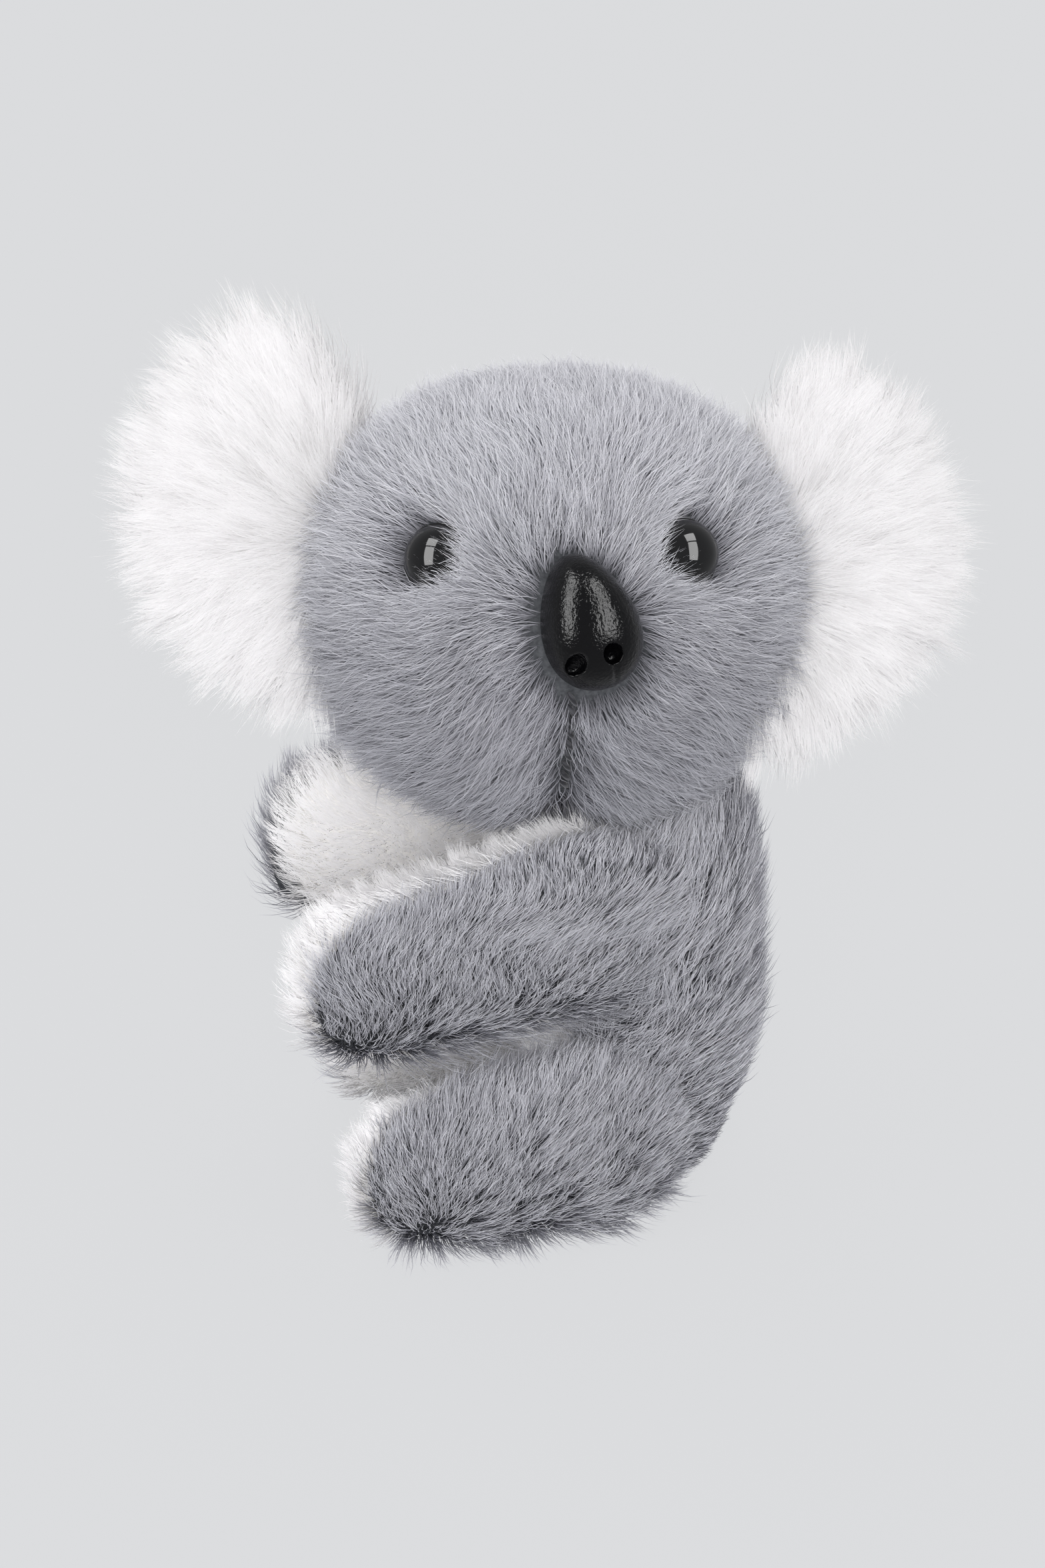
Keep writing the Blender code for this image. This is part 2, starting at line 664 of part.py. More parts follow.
def make_lever(name, side, frame):
    plate = strip(lever_plan(side), LEVER_THICKNESS / 2.0, LEVER_BOTTOM, LEVER_TOP)
    lever = new_object(f"{name}_clip_lever", plate, LEVER_PLASTIC, frame)
    far = BODY_WIDTH
    reach = ARM_FINGER_REACH + CUT_OVERRUN
    shoulder = -SHOULDER_REACH + CUT_OVERRUN
    arm_low = ARM_LEVEL - FINGER_HEIGHT / 2.0
    arm_high = ARM_LEVEL + FINGER_HEIGHT / 2.0
    leg_low = LEG_LEVEL - FINGER_HEIGHT / 2.0
    leg_high = LEG_LEVEL + FINGER_HEIGHT / 2.0
    notches = (
        ("gap", (-reach, leg_high, arm_low), shoulder),
        ("over", (-reach, arm_high, BODY_HEIGHT), shoulder),
        ("under", (-reach, -CUT_OVERRUN, leg_low), shoulder),
        ("leg_end", (-reach, -CUT_OVERRUN, arm_low), -LEG_FINGER_REACH),
        ("heel", (PIN_Y, -CUT_OVERRUN, HANDLE_BOTTOM), BODY_DEPTH),
    )
    for label, (front, low, high), back in notches:
        combine(lever, block(f"cut_{name}_lever_{label}", (0.0, front, low), (far, back, high), side))
    half_web = KNUCKLE_RADIUS / 2.0
    for label, low in zip(("low", "high"), KNUCKLES[name]):
        high = low + KNUCKLE_LENGTH
        corner = (LEVER_WAIST, PIN_Y + half_web, high)
        combine(lever, block(f"add_{name}_{label}_web", (0.0, PIN_Y - half_web, low), corner, side), "UNION")
        barrel = disc(KNUCKLE_RADIUS, low, high, PIN_PLACE)
        combine(lever, new_object(f"add_{name}_{label}_knuckle", barrel), "UNION")
    bore = disc(PIN_RADIUS + PIN_CLEARANCE, 0.0, BODY_HEIGHT, PIN_PLACE)
    combine(lever, new_object(f"cut_{name}_lever_bore", bore))


def body_sweep(name, side):
    """The body as it turns past a jaw's limbs while the jaw swings, with room to spare."""
    cutters = []
    for here, share in enumerate(SWEEP_SHARES):
        swing = Matrix.Rotation(math.radians(-side * JAW_SWING_ANGLE * share), 4, "Z")
        turn = Matrix.Translation(PIN_PLACE) @ swing @ Matrix.Translation(-PIN_PLACE)
        form = moved(body_form(-2.0 * RUNNING_GAP), turn)
        cutters.append(new_object(f"cut_{name}_limb_root_{here}", form))
    return cutters


def make_limb(name, side, limb, frame, cutters):
    if limb == "arm":
        size = (ARM_REACH, ARM_HEIGHT, ARM_LEVEL, ARM_SHARES)
        finger_reach = ARM_FINGER_REACH
    else:
        size = (LEG_REACH, LEG_HEIGHT, LEG_LEVEL, LEG_SHARES)
        finger_reach = LEG_FINGER_REACH
    level = size[2]
    seam = LIMB_SPREAD - LIMB_THICKNESS / 2.0 + LINING_THICKNESS
    far = ARM_REACH + CUT_OVERRUN
    outer = new_object(f"{name}_{limb}", limb_form(side, *size), GREY_PLUSH, frame)
    lining = new_object(f"{name}_{limb}_lining", limb_form(side, *size), WHITE_PLUSH, frame)
    for piece in (outer, lining):
        for cutter in cutters:
            combine(piece, cutter)
    top = (BODY_WIDTH, far, BODY_HEIGHT)
    outside = block(f"cut_{name}_{limb}_outside", (seam, -far, -CUT_OVERRUN), top, side)
    combine(outer, outside, "INTERSECT")
    top = (seam - SEAM_GAP, far, BODY_HEIGHT)
    inside = block(f"cut_{name}_{limb}_inside", (0.0, -far, -CUT_OVERRUN), top, side)
    combine(lining, inside, "INTERSECT")
    half_finger = FINGER_HEIGHT / 2.0 + SEAM_GAP
    floor_of_pocket = FINGER_SPREAD + LEVER_THICKNESS / 2.0 + SEAM_GAP
    low = (seam - CUT_OVERRUN, -finger_reach - SEAM_GAP, level - half_finger)
    pocket = block(f"cut_{name}_{limb}_pocket", low, (floor_of_pocket, 0.0, level + half_finger), side)
    combine(outer, pocket)
    half_plate = LEVER_THICKNESS / 2.0 + SEAM_GAP
    shoulder = strip(lever_plan(side)[1:-1], half_plate, level - half_finger, level + half_finger)
    combine(lining, new_object(f"cut_{name}_{limb}_shoulder", shoulder))


def add_stem_fitting(name, place, turn, stem, washer, drop, frame, shanks):
    """The washer behind the skin, and the cutters for the skin's hole and the stuffing's room."""
    back = -drop - PLUSH_THICKNESS - SEAM_GAP
    ring = disc(washer / 2.0, back - WASHER_THICKNESS, back, place, turn)
    made = new_object(f"{name}_washer", ring, WASHER_PLASTIC, frame, True)
    hole = disc(stem / 2.0 + PIN_CLEARANCE, -STEM_LENGTH - CUT_OVERRUN, CUT_OVERRUN, place, turn)
    combine(made, new_object(f"cut_{name}_washer_bore", hole, None, frame, True))
    way = disc(stem / 2.0 + SEAM_GAP, -STEM_LENGTH - CUT_OVERRUN, CUT_OVERRUN, place, turn, STEM_SIDES)
    room = disc(washer / 2.0 + SEAM_GAP, back - WASHER_THICKNESS - SEAM_GAP, CUT_OVERRUN, place, turn)
    hole = new_object(f"cut_{name}_hole", way, None, frame, True)
    shanks.append((hole, new_object(f"cut_{name}_room", room, None, frame, True)))


def make_eyes(frame, shanks, seats):
    for name, side in SIDES:
        place, normal = on_head(EYE_OFFSET + side * HEAD_WIDTH * EYE_SPREAD_SHARE / 2.0, EYE_RISE)
        turn = facing(normal)
        seat = place - normal * EYE_SINK
        dome = bmesh.new()
        bmesh.ops.create_uvsphere(dome, u_segments=24, v_segments=12, radius=1.0)
        shape = Matrix.Diagonal((EYE_DIAMETER / 2.0, EYE_DIAMETER / 2.0, EYE_DOME, 1.0))
        moved(dome, Matrix.Translation(seat + normal * SEAM_GAP) @ turn @ shape)
        eye = new_object(f"{name}_eye", dome, EYE_PLASTIC, frame, True)
        under = disc(EYE_DIAMETER, -EYE_DIAMETER, SEAM_GAP, seat, turn)
        combine(eye, new_object(f"cut_{name}_eye_back", under, None, frame, True))
        stem = disc(STEM_DIAMETER / 2.0, -STEM_LENGTH, EYE_DOME / 2.0, seat, turn, STEM_SIDES)
        combine(eye, new_object(f"add_{name}_eye_stem", stem, None, frame, True), "UNION")
        recess = disc(EYE_DIAMETER / 2.0 + SEAM_GAP, 0.0, EYE_DOME, seat, turn)
        seats.append(new_object(f"cut_{name}_eye_seat", recess, None, frame, True))
        add_stem_fitting(f"{name}_eye", seat, turn, STEM_DIAMETER, WASHER_DIAMETER, 0.0, frame, shanks)


def make_nose(frame, shanks, seats):
    place, normal = on_head(NOSE_OFFSET, -NOSE_DROP)
    turn = facing(normal) @ Matrix.Rotation(math.radians(NOSE_LEAN_ANGLE), 4, "Z")
    seat = place - normal * NOSE_SINK
    at = Matrix.Translation(seat + normal * SEAM_GAP) @ turn
    cap = egg_cap(NOSE_SHARES, NOSE_WIDTH, NOSE_HEIGHT, NOSE_DEPTH)
    nose = new_object("nose", moved(cap, at), NOSE_PLASTIC, frame, True)
    stem = disc(NOSE_STEM_DIAMETER / 2.0, -STEM_LENGTH, NOSE_DEPTH / 2.0, seat, turn, STEM_SIDES)
    combine(nose, new_object("add_nose_stem", stem, None, frame, True), "UNION")
    for name, side in SIDES:
        pit = bmesh.new()
        bmesh.ops.create_uvsphere(pit, u_segments=12, v_segments=8, radius=NOSTRIL_RADIUS)
        rise = NOSE_DEPTH * math.sqrt(1.0 - (2.0 * NOSTRIL_DROP / NOSE_HEIGHT) ** 2)
        tall = rise * math.sqrt(1.0 - (NOSTRIL_SPREAD / NOSE_WIDTH) ** 2)
        middle = (side * NOSTRIL_SPREAD / 2.0, -NOSTRIL_DROP, tall + NOSTRIL_RADIUS - NOSTRIL_DEPTH)
        pit = moved(pit, at @ Matrix.Translation(middle))
        combine(nose, new_object(f"cut_{name}_nostril", pit, None, frame, True))
    pad = egg_cap(NOSE_SHARES, NOSE_WIDTH + 2.0 * SEAM_GAP, NOSE_HEIGHT + 2.0 * SEAM_GAP, NOSE_DEPTH)
    seats.append(new_object("cut_nose_seat", moved(pad, Matrix.Translation(seat) @ turn), None, frame, True))
    stem_and_washer = (NOSE_STEM_DIAMETER, NOSE_WASHER_DIAMETER, NOSE_WASHER_DROP)
    add_stem_fitting("nose", seat, turn, *stem_and_washer, frame, shanks)


def make_mouth(frame):
    """The muzzle's drawn-in thread, and the wider cutter for the crease that it lies in."""
    steps = 8
    points = []
    for step in range(steps + 1):
        drop = MOUTH_TOP + (MOUTH_BOTTOM - MOUTH_TOP) * step / steps
        place, normal = on_head(0.0, -drop)
        points.append(place - normal * SEAM_GAP)
    new_object("mouth_thread", bar(points, MOUTH_THREAD_WIRE), DARK_THREAD, frame, True)
    ends = [points[0] + (points[0] - points[1]), *points, points[-1] + (points[-1] - points[-2])]
    return new_object("cut_mouth_crease", bar(ends, MOUTH_THREAD_WIRE + 2.0 * SEAM_GAP), None, frame, True)


def make_ears(frame, head_clear):
    settings = (
        (LEFT_EAR_RISE, LEFT_EAR_SPLAY_ANGLE, LEFT_EAR_FOOT_CURL),
        (RIGHT_EAR_RISE, RIGHT_EAR_SPLAY_ANGLE, RIGHT_EAR_FOOT_CURL),
    )
    for (name, side), (rise, splay, foot_curl) in zip(SIDES, settings):
        place = Vector((side * HEAD_WIDTH * EAR_SPREAD_SHARE, EAR_SETBACK, rise))
        turn = Euler((0.0, math.radians(side * EAR_LEAN_ANGLE), math.radians(side * splay))).to_matrix().to_4x4()
        at = Matrix.Translation(place) @ turn
        for half, finish, low, high in (
            ("front", WHITE_PLUSH, -EAR_HEIGHT, -SEAM_GAP / 2.0),
            ("back", GREY_PLUSH, SEAM_GAP / 2.0, EAR_HEIGHT),
        ):
            pad = lens(EAR_WIDTH, EAR_HEIGHT, EAR_FRONT, EAR_BACK, side * EAR_TOP_CURL, side * foot_curl)
            ear = new_object(f"{name}_ear_{half}", moved(pad, at), finish, frame, True)
            keep = moved(box((-EAR_HEIGHT, low, -EAR_HEIGHT), (EAR_HEIGHT, high, EAR_HEIGHT)), at)
            combine(ear, new_object(f"cut_{name}_ear_{half}", keep, None, frame, True), "INTERSECT")
            combine(ear, head_clear)


def make_head(axis, groove):
    turn = Euler((math.radians(-HEAD_LIFT_ANGLE), math.radians(HEAD_ROLL_ANGLE), 0.0)).to_matrix()
    turn = Matrix.Rotation(math.radians(HEAD_TURN_ANGLE), 3, "Z") @ turn
    frame = empty("head_frame", HEAD_PLACE, turn.to_euler(), axis)
    shanks, seats = [], []
    make_eyes(frame, shanks, seats)
    make_nose(frame, shanks, seats)
    crease = make_mouth(frame)
    below = NECK_PLACE.z + SEAM_GAP
    wide = 2.0 * HEAD_WIDTH
    under = block("cut_head_under", (-wide, -wide, -wide), (wide, wide, below))
    hole = disc(NECK_HOLE_RADIUS, -CUT_OVERRUN, PLUSH_THICKNESS + 2.0 * CUT_OVERRUN, NECK_PLACE)
    throat = new_object("cut_neck_hole", hole)
    hollow = new_object("cut_head_hollow", head_form(PLUSH_THICKNESS), None, frame, True)
    base = below + PLUSH_THICKNESS
    combine(hollow, block("cut_hollow_base", (-wide, -wide, -wide), (wide, wide, base)))
    skin = new_object("head_skin", head_form(0.0), GREY_PLUSH, frame, True)
    for cutter in (under, hollow, throat, groove, crease, *seats, *(hole for hole, _ in shanks)):
        combine(skin, cutter)
    stuffing = new_object("head_stuffing", head_form(PLUSH_THICKNESS + SEAM_GAP), FIBRE, frame, True)
    combine(stuffing, block("cut_stuffing_base", (-wide, -wide, -wide), (wide, wide, base + SEAM_GAP)))
    for hole, room in shanks:
        combine(stuffing, hole)
        combine(stuffing, room)
    head_clear = new_object("cut_ear_root", head_form(-SEAM_GAP), None, frame, True)
    make_ears(frame, head_clear)


def main():
    clear_scene()
    frames = {name: empty(f"{name}_jaw_axis", PIN_PLACE.copy()) for name, _ in SIDES}
    axis = empty("head_axis", NECK_PLACE.copy())
    floor, groove = make_body()
    make_pin()
    make_spring(frames)
    for name, side in SIDES:
        make_lever(name, side, frames[name])
        sweep = body_sweep(name, side)
        make_limb(name, side, "arm", frames[name], sweep)
        make_limb(name, side, "leg", frames[name], [*sweep, floor])
    make_head(axis, groove)


main()
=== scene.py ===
"""Looks for the plush koala that clips on.

Every plush piece is a stuffed skin that lies a little inside its solid, with a pile of real strands grown
out of it. A strand is combed over the skin, gathered with its neighbours into a tuft, and drawn to a point.
It takes its colour from its own map: across the map from dark strands to light ones, and up the map from
root to tip, darker at the root as painted shade deep in the pile. The eyes and the nose are smooth
mouldings, and the clip inside keeps its solids.
"""

import math

import bmesh
import bpy
import numpy as np
from mathutils import Euler, Matrix, Vector
from mathutils.kdtree import KDTree

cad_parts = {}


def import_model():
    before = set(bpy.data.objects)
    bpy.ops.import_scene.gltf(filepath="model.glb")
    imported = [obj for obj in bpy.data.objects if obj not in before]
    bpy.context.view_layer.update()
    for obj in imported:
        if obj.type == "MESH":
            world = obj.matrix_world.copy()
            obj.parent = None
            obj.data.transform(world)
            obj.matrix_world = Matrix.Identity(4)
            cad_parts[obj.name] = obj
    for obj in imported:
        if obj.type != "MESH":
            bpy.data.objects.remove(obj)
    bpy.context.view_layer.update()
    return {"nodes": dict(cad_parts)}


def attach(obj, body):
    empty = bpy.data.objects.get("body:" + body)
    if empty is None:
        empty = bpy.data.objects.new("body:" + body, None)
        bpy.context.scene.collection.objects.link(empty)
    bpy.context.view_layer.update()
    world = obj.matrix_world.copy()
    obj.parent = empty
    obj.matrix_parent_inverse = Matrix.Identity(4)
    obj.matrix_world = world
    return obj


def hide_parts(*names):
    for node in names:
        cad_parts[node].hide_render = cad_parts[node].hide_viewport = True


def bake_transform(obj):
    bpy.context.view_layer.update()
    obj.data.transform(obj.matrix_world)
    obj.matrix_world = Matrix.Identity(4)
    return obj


MM = 0.001

# The camera, which looks from the side that shows the face and the toy's left flank
CAMERA_AZIMUTH = 77.0
CAMERA_ELEVATION = 33.0
CAMERA_DISTANCE = 1.0
CAMERA_TARGET = Vector((0.25, -15.3, 58.3)) * MM
PHOTO_HEIGHT = 2352
PIXEL_SIZE = 0.085 * MM
SENSOR_HEIGHT = 36.0

# How far the skins lie inside the solids, which end in the middle of the pile
BED = 2.3 * MM
THIN_BED = 2.2 * MM
# How far short of the solid's tip each half of an arm or a leg stops, on the toy's left and right
TIP_BEDS = {
    "left_arm": {"outer": 2.4 * MM, "lining": 1.3 * MM},
    "left_leg": {"outer": 2.3 * MM, "lining": 0.8 * MM},
    "right_arm": {"outer": 3.2 * MM, "lining": 6.6 * MM},
    "right_leg": {"outer": 4.2 * MM, "lining": 4.4 * MM},
}
FLOOR_CLEARANCE = 0.15 * MM

# Body
BODY_WIDTH = 42.0 * MM
BODY_DEPTH = 29.4 * MM
BODY_HEIGHT = 59.5 * MM
BODY_SQUARENESS = 2.25
BELLY_WIDTH = 22.0 * MM
BELLY_FOOT = 3.0 * MM
# Height, half width, half depth and lean, as shares
BODY_SHARES = (
    (0.0, 0.0, 0.0, -0.04),
    (0.0, 0.40, 0.34, -0.04),
    (0.02, 0.62, 0.56, -0.04),
    (0.06, 0.77, 0.72, -0.03),
    (0.13, 0.88, 0.85, -0.02),
    (0.24, 0.96, 0.95, -0.01),
    (0.40, 1.00, 1.00, 0.00),
    (0.58, 1.00, 1.00, 0.00),
    (0.74, 0.98, 0.99, 0.00),
    (0.86, 0.93, 0.96, 0.00),
    (0.94, 0.85, 0.90, 0.00),
    (1.0, 0.62, 0.71, 0.00),
    (1.0, 0.0, 0.0, 0.00),
)

# Arms and legs
LIMB_SPREAD = 16.8 * MM
LIMB_THICKNESS = 10.6 * MM
LINING_THICKNESS = 3.4 * MM
# How far outside the sewn seam the grey pile starts, because the white one hides the seam
SEAM_COVER = 1.6 * MM
LIMB_ROOT_Y = 2.0 * MM
LIMB_SQUARENESS = 2.3
# Reach, height and level of each
LIMBS = {
    "arm": (49.0 * MM, 26.5 * MM, 43.0 * MM),
    "leg": (41.3 * MM, 24.0 * MM, 11.5 * MM),
}
# Way from root to tip, half thickness, half height and rise, as shares
LIMB_SHARES = {
    "arm": (
        (0.00, 0.00, 0.00, 0.15),
        (0.00, 0.30, 0.40, 0.15),
        (0.10, 0.70, 0.85, 0.15),
        (0.25, 0.94, 1.10, 0.16),
        (0.45, 0.98, 1.05, 0.11),
        (0.65, 1.00, 0.99, 0.03),
        (0.80, 0.98, 0.98, -0.02),
        (0.90, 0.88, 0.90, -0.03),
        (0.96, 0.66, 0.70, -0.03),
        (1.00, 0.30, 0.32, -0.03),
        (1.00, 0.00, 0.00, -0.03),
    ),
    "leg": (
        (0.00, 0.00, 0.00, 0.08),
        (0.00, 0.30, 0.44, 0.08),
        (0.10, 0.70, 0.90, 0.08),
        (0.25, 0.96, 1.16, 0.07),
        (0.45, 1.00, 1.10, 0.05),
        (0.65, 1.00, 1.04, 0.01),
        (0.80, 0.97, 0.96, -0.02),
        (0.90, 0.86, 0.86, -0.03),
        (0.96, 0.66, 0.68, -0.03),
        (1.00, 0.30, 0.32, -0.03),
        (1.00, 0.00, 0.00, -0.03),
    ),
}

# Head, in its own axes: the face looks to -Y and the head's left is +X
HEAD_PLACE = Vector((-4.5, -10.5, 83.8)) * MM
HEAD_TURN = 82.0
HEAD_LIFT = 33.0
HEAD_ROLL = 1.7
HEAD_SIZE = Vector((61.5, 53.0, 56.8)) * MM
HEAD_SQUARENESS = 2.15
MUZZLE_SWELL = 3.6 * MM
MUZZLE_DROP_SHARE = 0.30
MUZZLE_SPREAD_SHARE = 0.42

EYE_SPREAD_SHARE = 0.5
EYE_OFFSET = -0.8 * MM
EYE_RISE = 3.6 * MM
EYE_DIAMETER = 9.0 * MM
EYE_DOME = 3.9 * MM
EYE_SINK = 0.2 * MM
NOSE_OFFSET = 1.8 * MM
NOSE_DROP = 4.6 * MM
NOSE_WIDTH = 12.3 * MM
NOSE_HEIGHT = 17.2 * MM
NOSE_DEPTH = 7.0 * MM
NOSE_SINK = 0.7 * MM
NOSE_LEAN = 15.0
# The back of the moulding, which sits down in the pile
NOSE_BACK_DEPTH = 3.0 * MM
NOSE_BACK_SHARE = 0.8
NOSE_SKIRT_SHARE = 0.05
# At 2 a slice across the nose is an ellipse, and above that it is fuller
NOSE_ROUNDNESS = 2.25
# The outline is an egg: an ellipse whose width is this share, less this taper towards its top
NOSE_WIDTH_SHARE = 0.97
NOSE_TAPER_SHARE = 0.235
NOSTRIL_RADIUS = 1.3 * MM
NOSTRIL_SPREAD = 4.5 * MM
NOSTRIL_OFFSET = -1.5 * MM
NOSTRIL_DROP = 4.9 * MM
NOSTRIL_DEPTH = 2.2 * MM
NOSTRIL_SLIT = 0.28 * MM
NOSTRIL_SLIT_SHARE = 0.2
MOUTH_TOP = 13.4 * MM
MOUTH_BOTTOM = 26.0 * MM

EAR_SIZE = Vector((32.0, 53.0)) * MM
EAR_FRONT = 6.0 * MM
EAR_BACK = 4.0 * MM
EAR_SPREAD_SHARE = 0.615
EAR_SETBACK = 3.0 * MM
EAR_LEAN = 6.0
# How far an ear's long pile stands out past its skin, at its free edge and at the head
EAR_EDGE_BED = 6.8 * MM
EAR_ROOT_BED = 2.5 * MM
# Rise, splay and how far the top and the foot bend in towards the head
EARS = {"left": (2.6 * MM, 26.0, 2.0 * MM, 10.5 * MM), "right": (9.5 * MM, 10.0, 2.6 * MM, 5.5 * MM)}

SIDES = {"left": 1.0, "right": -1.0}

# Stems of the eyes and the nose
EYE_STEM_DIAMETER = 2.6 * MM
NOSE_STEM_DIAMETER = 3.4 * MM
STEM_LENGTH = 7.5 * MM
EYE_RIM = 0.35 * MM
STITCH_WIRE = 0.7 * MM
STITCH_LENGTH = 2.6 * MM
STITCH_SLANT = 28.0
PILE_CLEARANCE = 0.15 * MM
# Two piles that meet thin out across each other over this length
PILE_OVERLAP = 2.6 * MM

# Where the pile of an arm or a leg parts, as shares of its reach and of its height
WHORL_SHARES = {"arm": (0.78, -0.23, 8.0 * MM), "leg": (0.76, -0.17, 9.0 * MM)}
# How far out the grey gives way to the white under the tip, and how much more towards the root and the top
SEAM_SHIFTS = {
    "left_arm": (0.0, -0.10, 0.11),
    "left_leg": (0.1 * MM, -0.14, 0.01),
    "right_arm": (0.6 * MM, -0.07, 0.08),
    "right_leg": (0.0, 0.0, 0.0),
}

# Strands
STRAND_JOINTS = 3
STRAND_WIDTH = 0.115 * MM
STRAND_TAPER = 0.75
STRAND_ROLL = 70.0
LENGTH_UNEVENNESS = 0.22
# Uneven lean and bow, as shares of how unevenly the strands lie
LEAN_SHARE = 0.7
BOW_SHARE = 1.5
# Tips draw together more than roots, and never quite meet
GATHER_CURVE = 1.3
GATHER_LIMIT = 0.92
# How much of a strand's shading follows the skin below it instead of its own flat side
SKIN_SHADING = 0.6
# How far the lie of the pile wanders, over what length and in how many waves
DRIFT = 0.13
DRIFT_LENGTH = 13.0 * MM
DRIFT_WAVES = 4
# How far past a moulding's edge strands that are combed onto it stand up, and how straight
STANDING_REACH = 2.2 * MM
STANDING_SHARE = 0.55
MAP_MARGIN = 0.03
MAP_HALF_WIDTH = 0.006
# Each pile's settings, as pile() names them
PILES = {
    "head": dict(density=13.0, length=6.6 * MM, tuft=24, gather=0.28, stray=0.26, mottle=0.27),
    "ear_front": dict(
        density=20.0, length=9.5 * MM, width=0.15 * MM, lean=(30.0, 76.0), tuft=40, gather=0.5, stray=0.2
    ),
    "ear_back": dict(
        density=12.0, length=6.0 * MM, width=0.15 * MM, lean=(30.0, 76.0), tuft=24, gather=0.35, stray=0.2
    ),
    "body": dict(density=9.8, length=6.4 * MM, tuft=22, gather=0.3),
    "belly": dict(density=11.0, length=5.0 * MM, tuft=22, gather=0.3),
    "limb_outer": dict(density=12.5, length=6.4 * MM, tuft=22, gather=0.3),
    "limb_lining": dict(density=14.0, length=5.2 * MM, lean=(34.0, 72.0), tuft=22, gather=0.5),
}

# The lie of the head's pile: how far it straightens over the brow, where it starts to part below the nose,
# in half heights of the nose, and how level and how far down it lies there
BROW_STRAIGHTENING = 0.5
PARTING_START = 0.75
PARTING_LEVELLING = 0.8
PARTING_DROP = 0.3
# How wide and how much the seam below the nose shows in the lie, the length and the tone of the pile; the
# tone is painted shade in the parting
SEAM_SPREAD = 1.1 * MM
SEAM_TRIM_SPREAD = 1.6 * MM
SEAM_SHADE_SPREAD = 0.9 * MM
SEAM_RUNOUT = 2.0 * MM
SEAM_SLACKENING = 0.5
SEAM_THINNING = 0.9
SEAM_TRIM = 0.45
SEAM_SHADE = 0.5
# Length as a share: at the nose, the way over which it grows by one, the least and the most
FACE_LENGTH = 0.55
FACE_GROWTH = 34.0 * MM
FACE_LEAST = 0.5
FACE_MOST = 1.15
CROWN_TRIM = 0.5
# Tone from 0 to 1: the middle, and what the crown adds and the chin takes off; partly the pile's own tone,
# partly painted light on the crown and painted shade under the chin
HEAD_TONE = 0.46
CROWN_TONE_AND_LIGHT = 0.85
CHIN_TONE_AND_SHADE = 1.15
# The thick pile at the inner edge of an eye: where, in eye radii, how wide and how much more of it
FRINGE_PLACE = 1.25
FRINGE_SPREAD = 0.35
FRINGE_THICKNESS = 2.5
# No strand is rooted within this share of an eye's or the nose's outline
BARE_REACH = 1.02
# Where face and nape meet, behind the ears
NAPE_START = 2.0 * MM

# Where an ear's pile fans out from, as shares of its width and its height
EAR_FAN_SHARES = (0.42, 0.06)

# The body's pile lies up and back, turns outwards near the floor, and is shorter at the foot of the back
BODY_SPLAY = 0.15
BODY_BACKWARD = 0.4
FLOOR_DIP = 1.5
SPLAY_HEIGHT = 10.0 * MM
FOOT_TOP = 20.0 * MM
FOOT_BLEND = 8.0 * MM
FOOT_TRIM = 0.65
BODY_TONE = 0.56
BACK_TONE = 0.25

# The pile of arms and legs: where it starts, its length, its tone, and how it lies
LIMB_BARE_ROOT = 2.0 * MM
TOP_START = 0.3
TOP_TRIM = 0.5
UNDER_TRIM = 0.2
TIP_START = 0.7
TIP_TRIM = 0.45
LIMB_TONE = 0.57
# Painted shade round an arm's whorl, where the pile parts: how much, and over what spread
WHORL_SHADE = 0.2
WHORL_SHADE_SPREAD = 5.0 * MM
# Painted light under a leg, paler towards the floor against the shade that falls there, up to this height
UNDER_PAINTED_LIGHT = 0.4
UNDER_HEIGHT = 7.0 * MM
LINING_FORWARD = 0.7
ROOT_BACKWARD = 0.5
TIP_FORWARD = 0.6
FLOOR_SPLAY = 1.3
FLOOR_SPLAY_HEIGHT = 9.0 * MM
WHORL_SHARE = 0.2
BELOW_WHORL_SHARE = 0.3
BELOW_WHORL_REACH = 3.0 * MM
ARM_WHORL_SHARE = 0.5
# How near the cut between a limb's halves a point counts as on it, and how near to square a face on it is
CUT_REACH = 0.05 * MM
FLAT = 0.02


def head_matrix():
    turn = Euler((math.radians(-HEAD_LIFT), math.radians(HEAD_ROLL), 0.0)).to_matrix()
    turn = Matrix.Rotation(math.radians(HEAD_TURN), 3, "Z") @ turn
    return Matrix.Translation(HEAD_PLACE) @ turn.to_4x4()


HEAD = head_matrix()


def unit(vectors):
    """Vectors of length one, row by row."""
    return vectors / np.maximum(np.linalg.norm(vectors, axis=1, keepdims=True), 1e-9)


def to_world(matrix, points, direction=False):
    """Points, or directions, carried by a 4x4 matrix."""
    m = np.array(matrix)
    moved = points @ m[:3, :3].T
    return moved if direction else moved + m[:3, 3]


def to_head(points):
    return to_world(HEAD.inverted(), points)


# Materials


# How fine the marks on the wire and the twist of the thread are, over a metre
WIRE_MARKS_SCALE = 900.0
THREAD_TWIST_SCALE = 450.0
WIRE_DARK = (0.50, 0.51, 0.53)
WIRE_LIGHT = (0.68, 0.69, 0.71)


def shader_of(name, roughness, specular=0.5, sheen=0.0):
    """A new material with its shader's constant values set on the shader's own sockets."""
    made = bpy.data.materials.new(name)
    made.use_nodes = True
    shader = made.node_tree.nodes["Principled BSDF"]
    shader.inputs["Roughness"].default_value = roughness
    shader.inputs["Specular IOR Level"].default_value = specular
    shader.inputs["Sheen Weight"].default_value = sheen
    return made, made.node_tree, shader


def ramp(tree, factor, stops):
    """A colour ramp with these (position, colour) stops."""
    node = tree.nodes.new("ShaderNodeValToRGB")
    elements = node.color_ramp.elements
    while len(elements) < len(stops):
        elements.new(0.5)
    for element, (position, colour) in zip(elements, stops):
        element.position = position
        element.color = (*colour, 1.0)
    tree.links.new(factor, node.inputs["Fac"])
    return node.outputs["Color"]


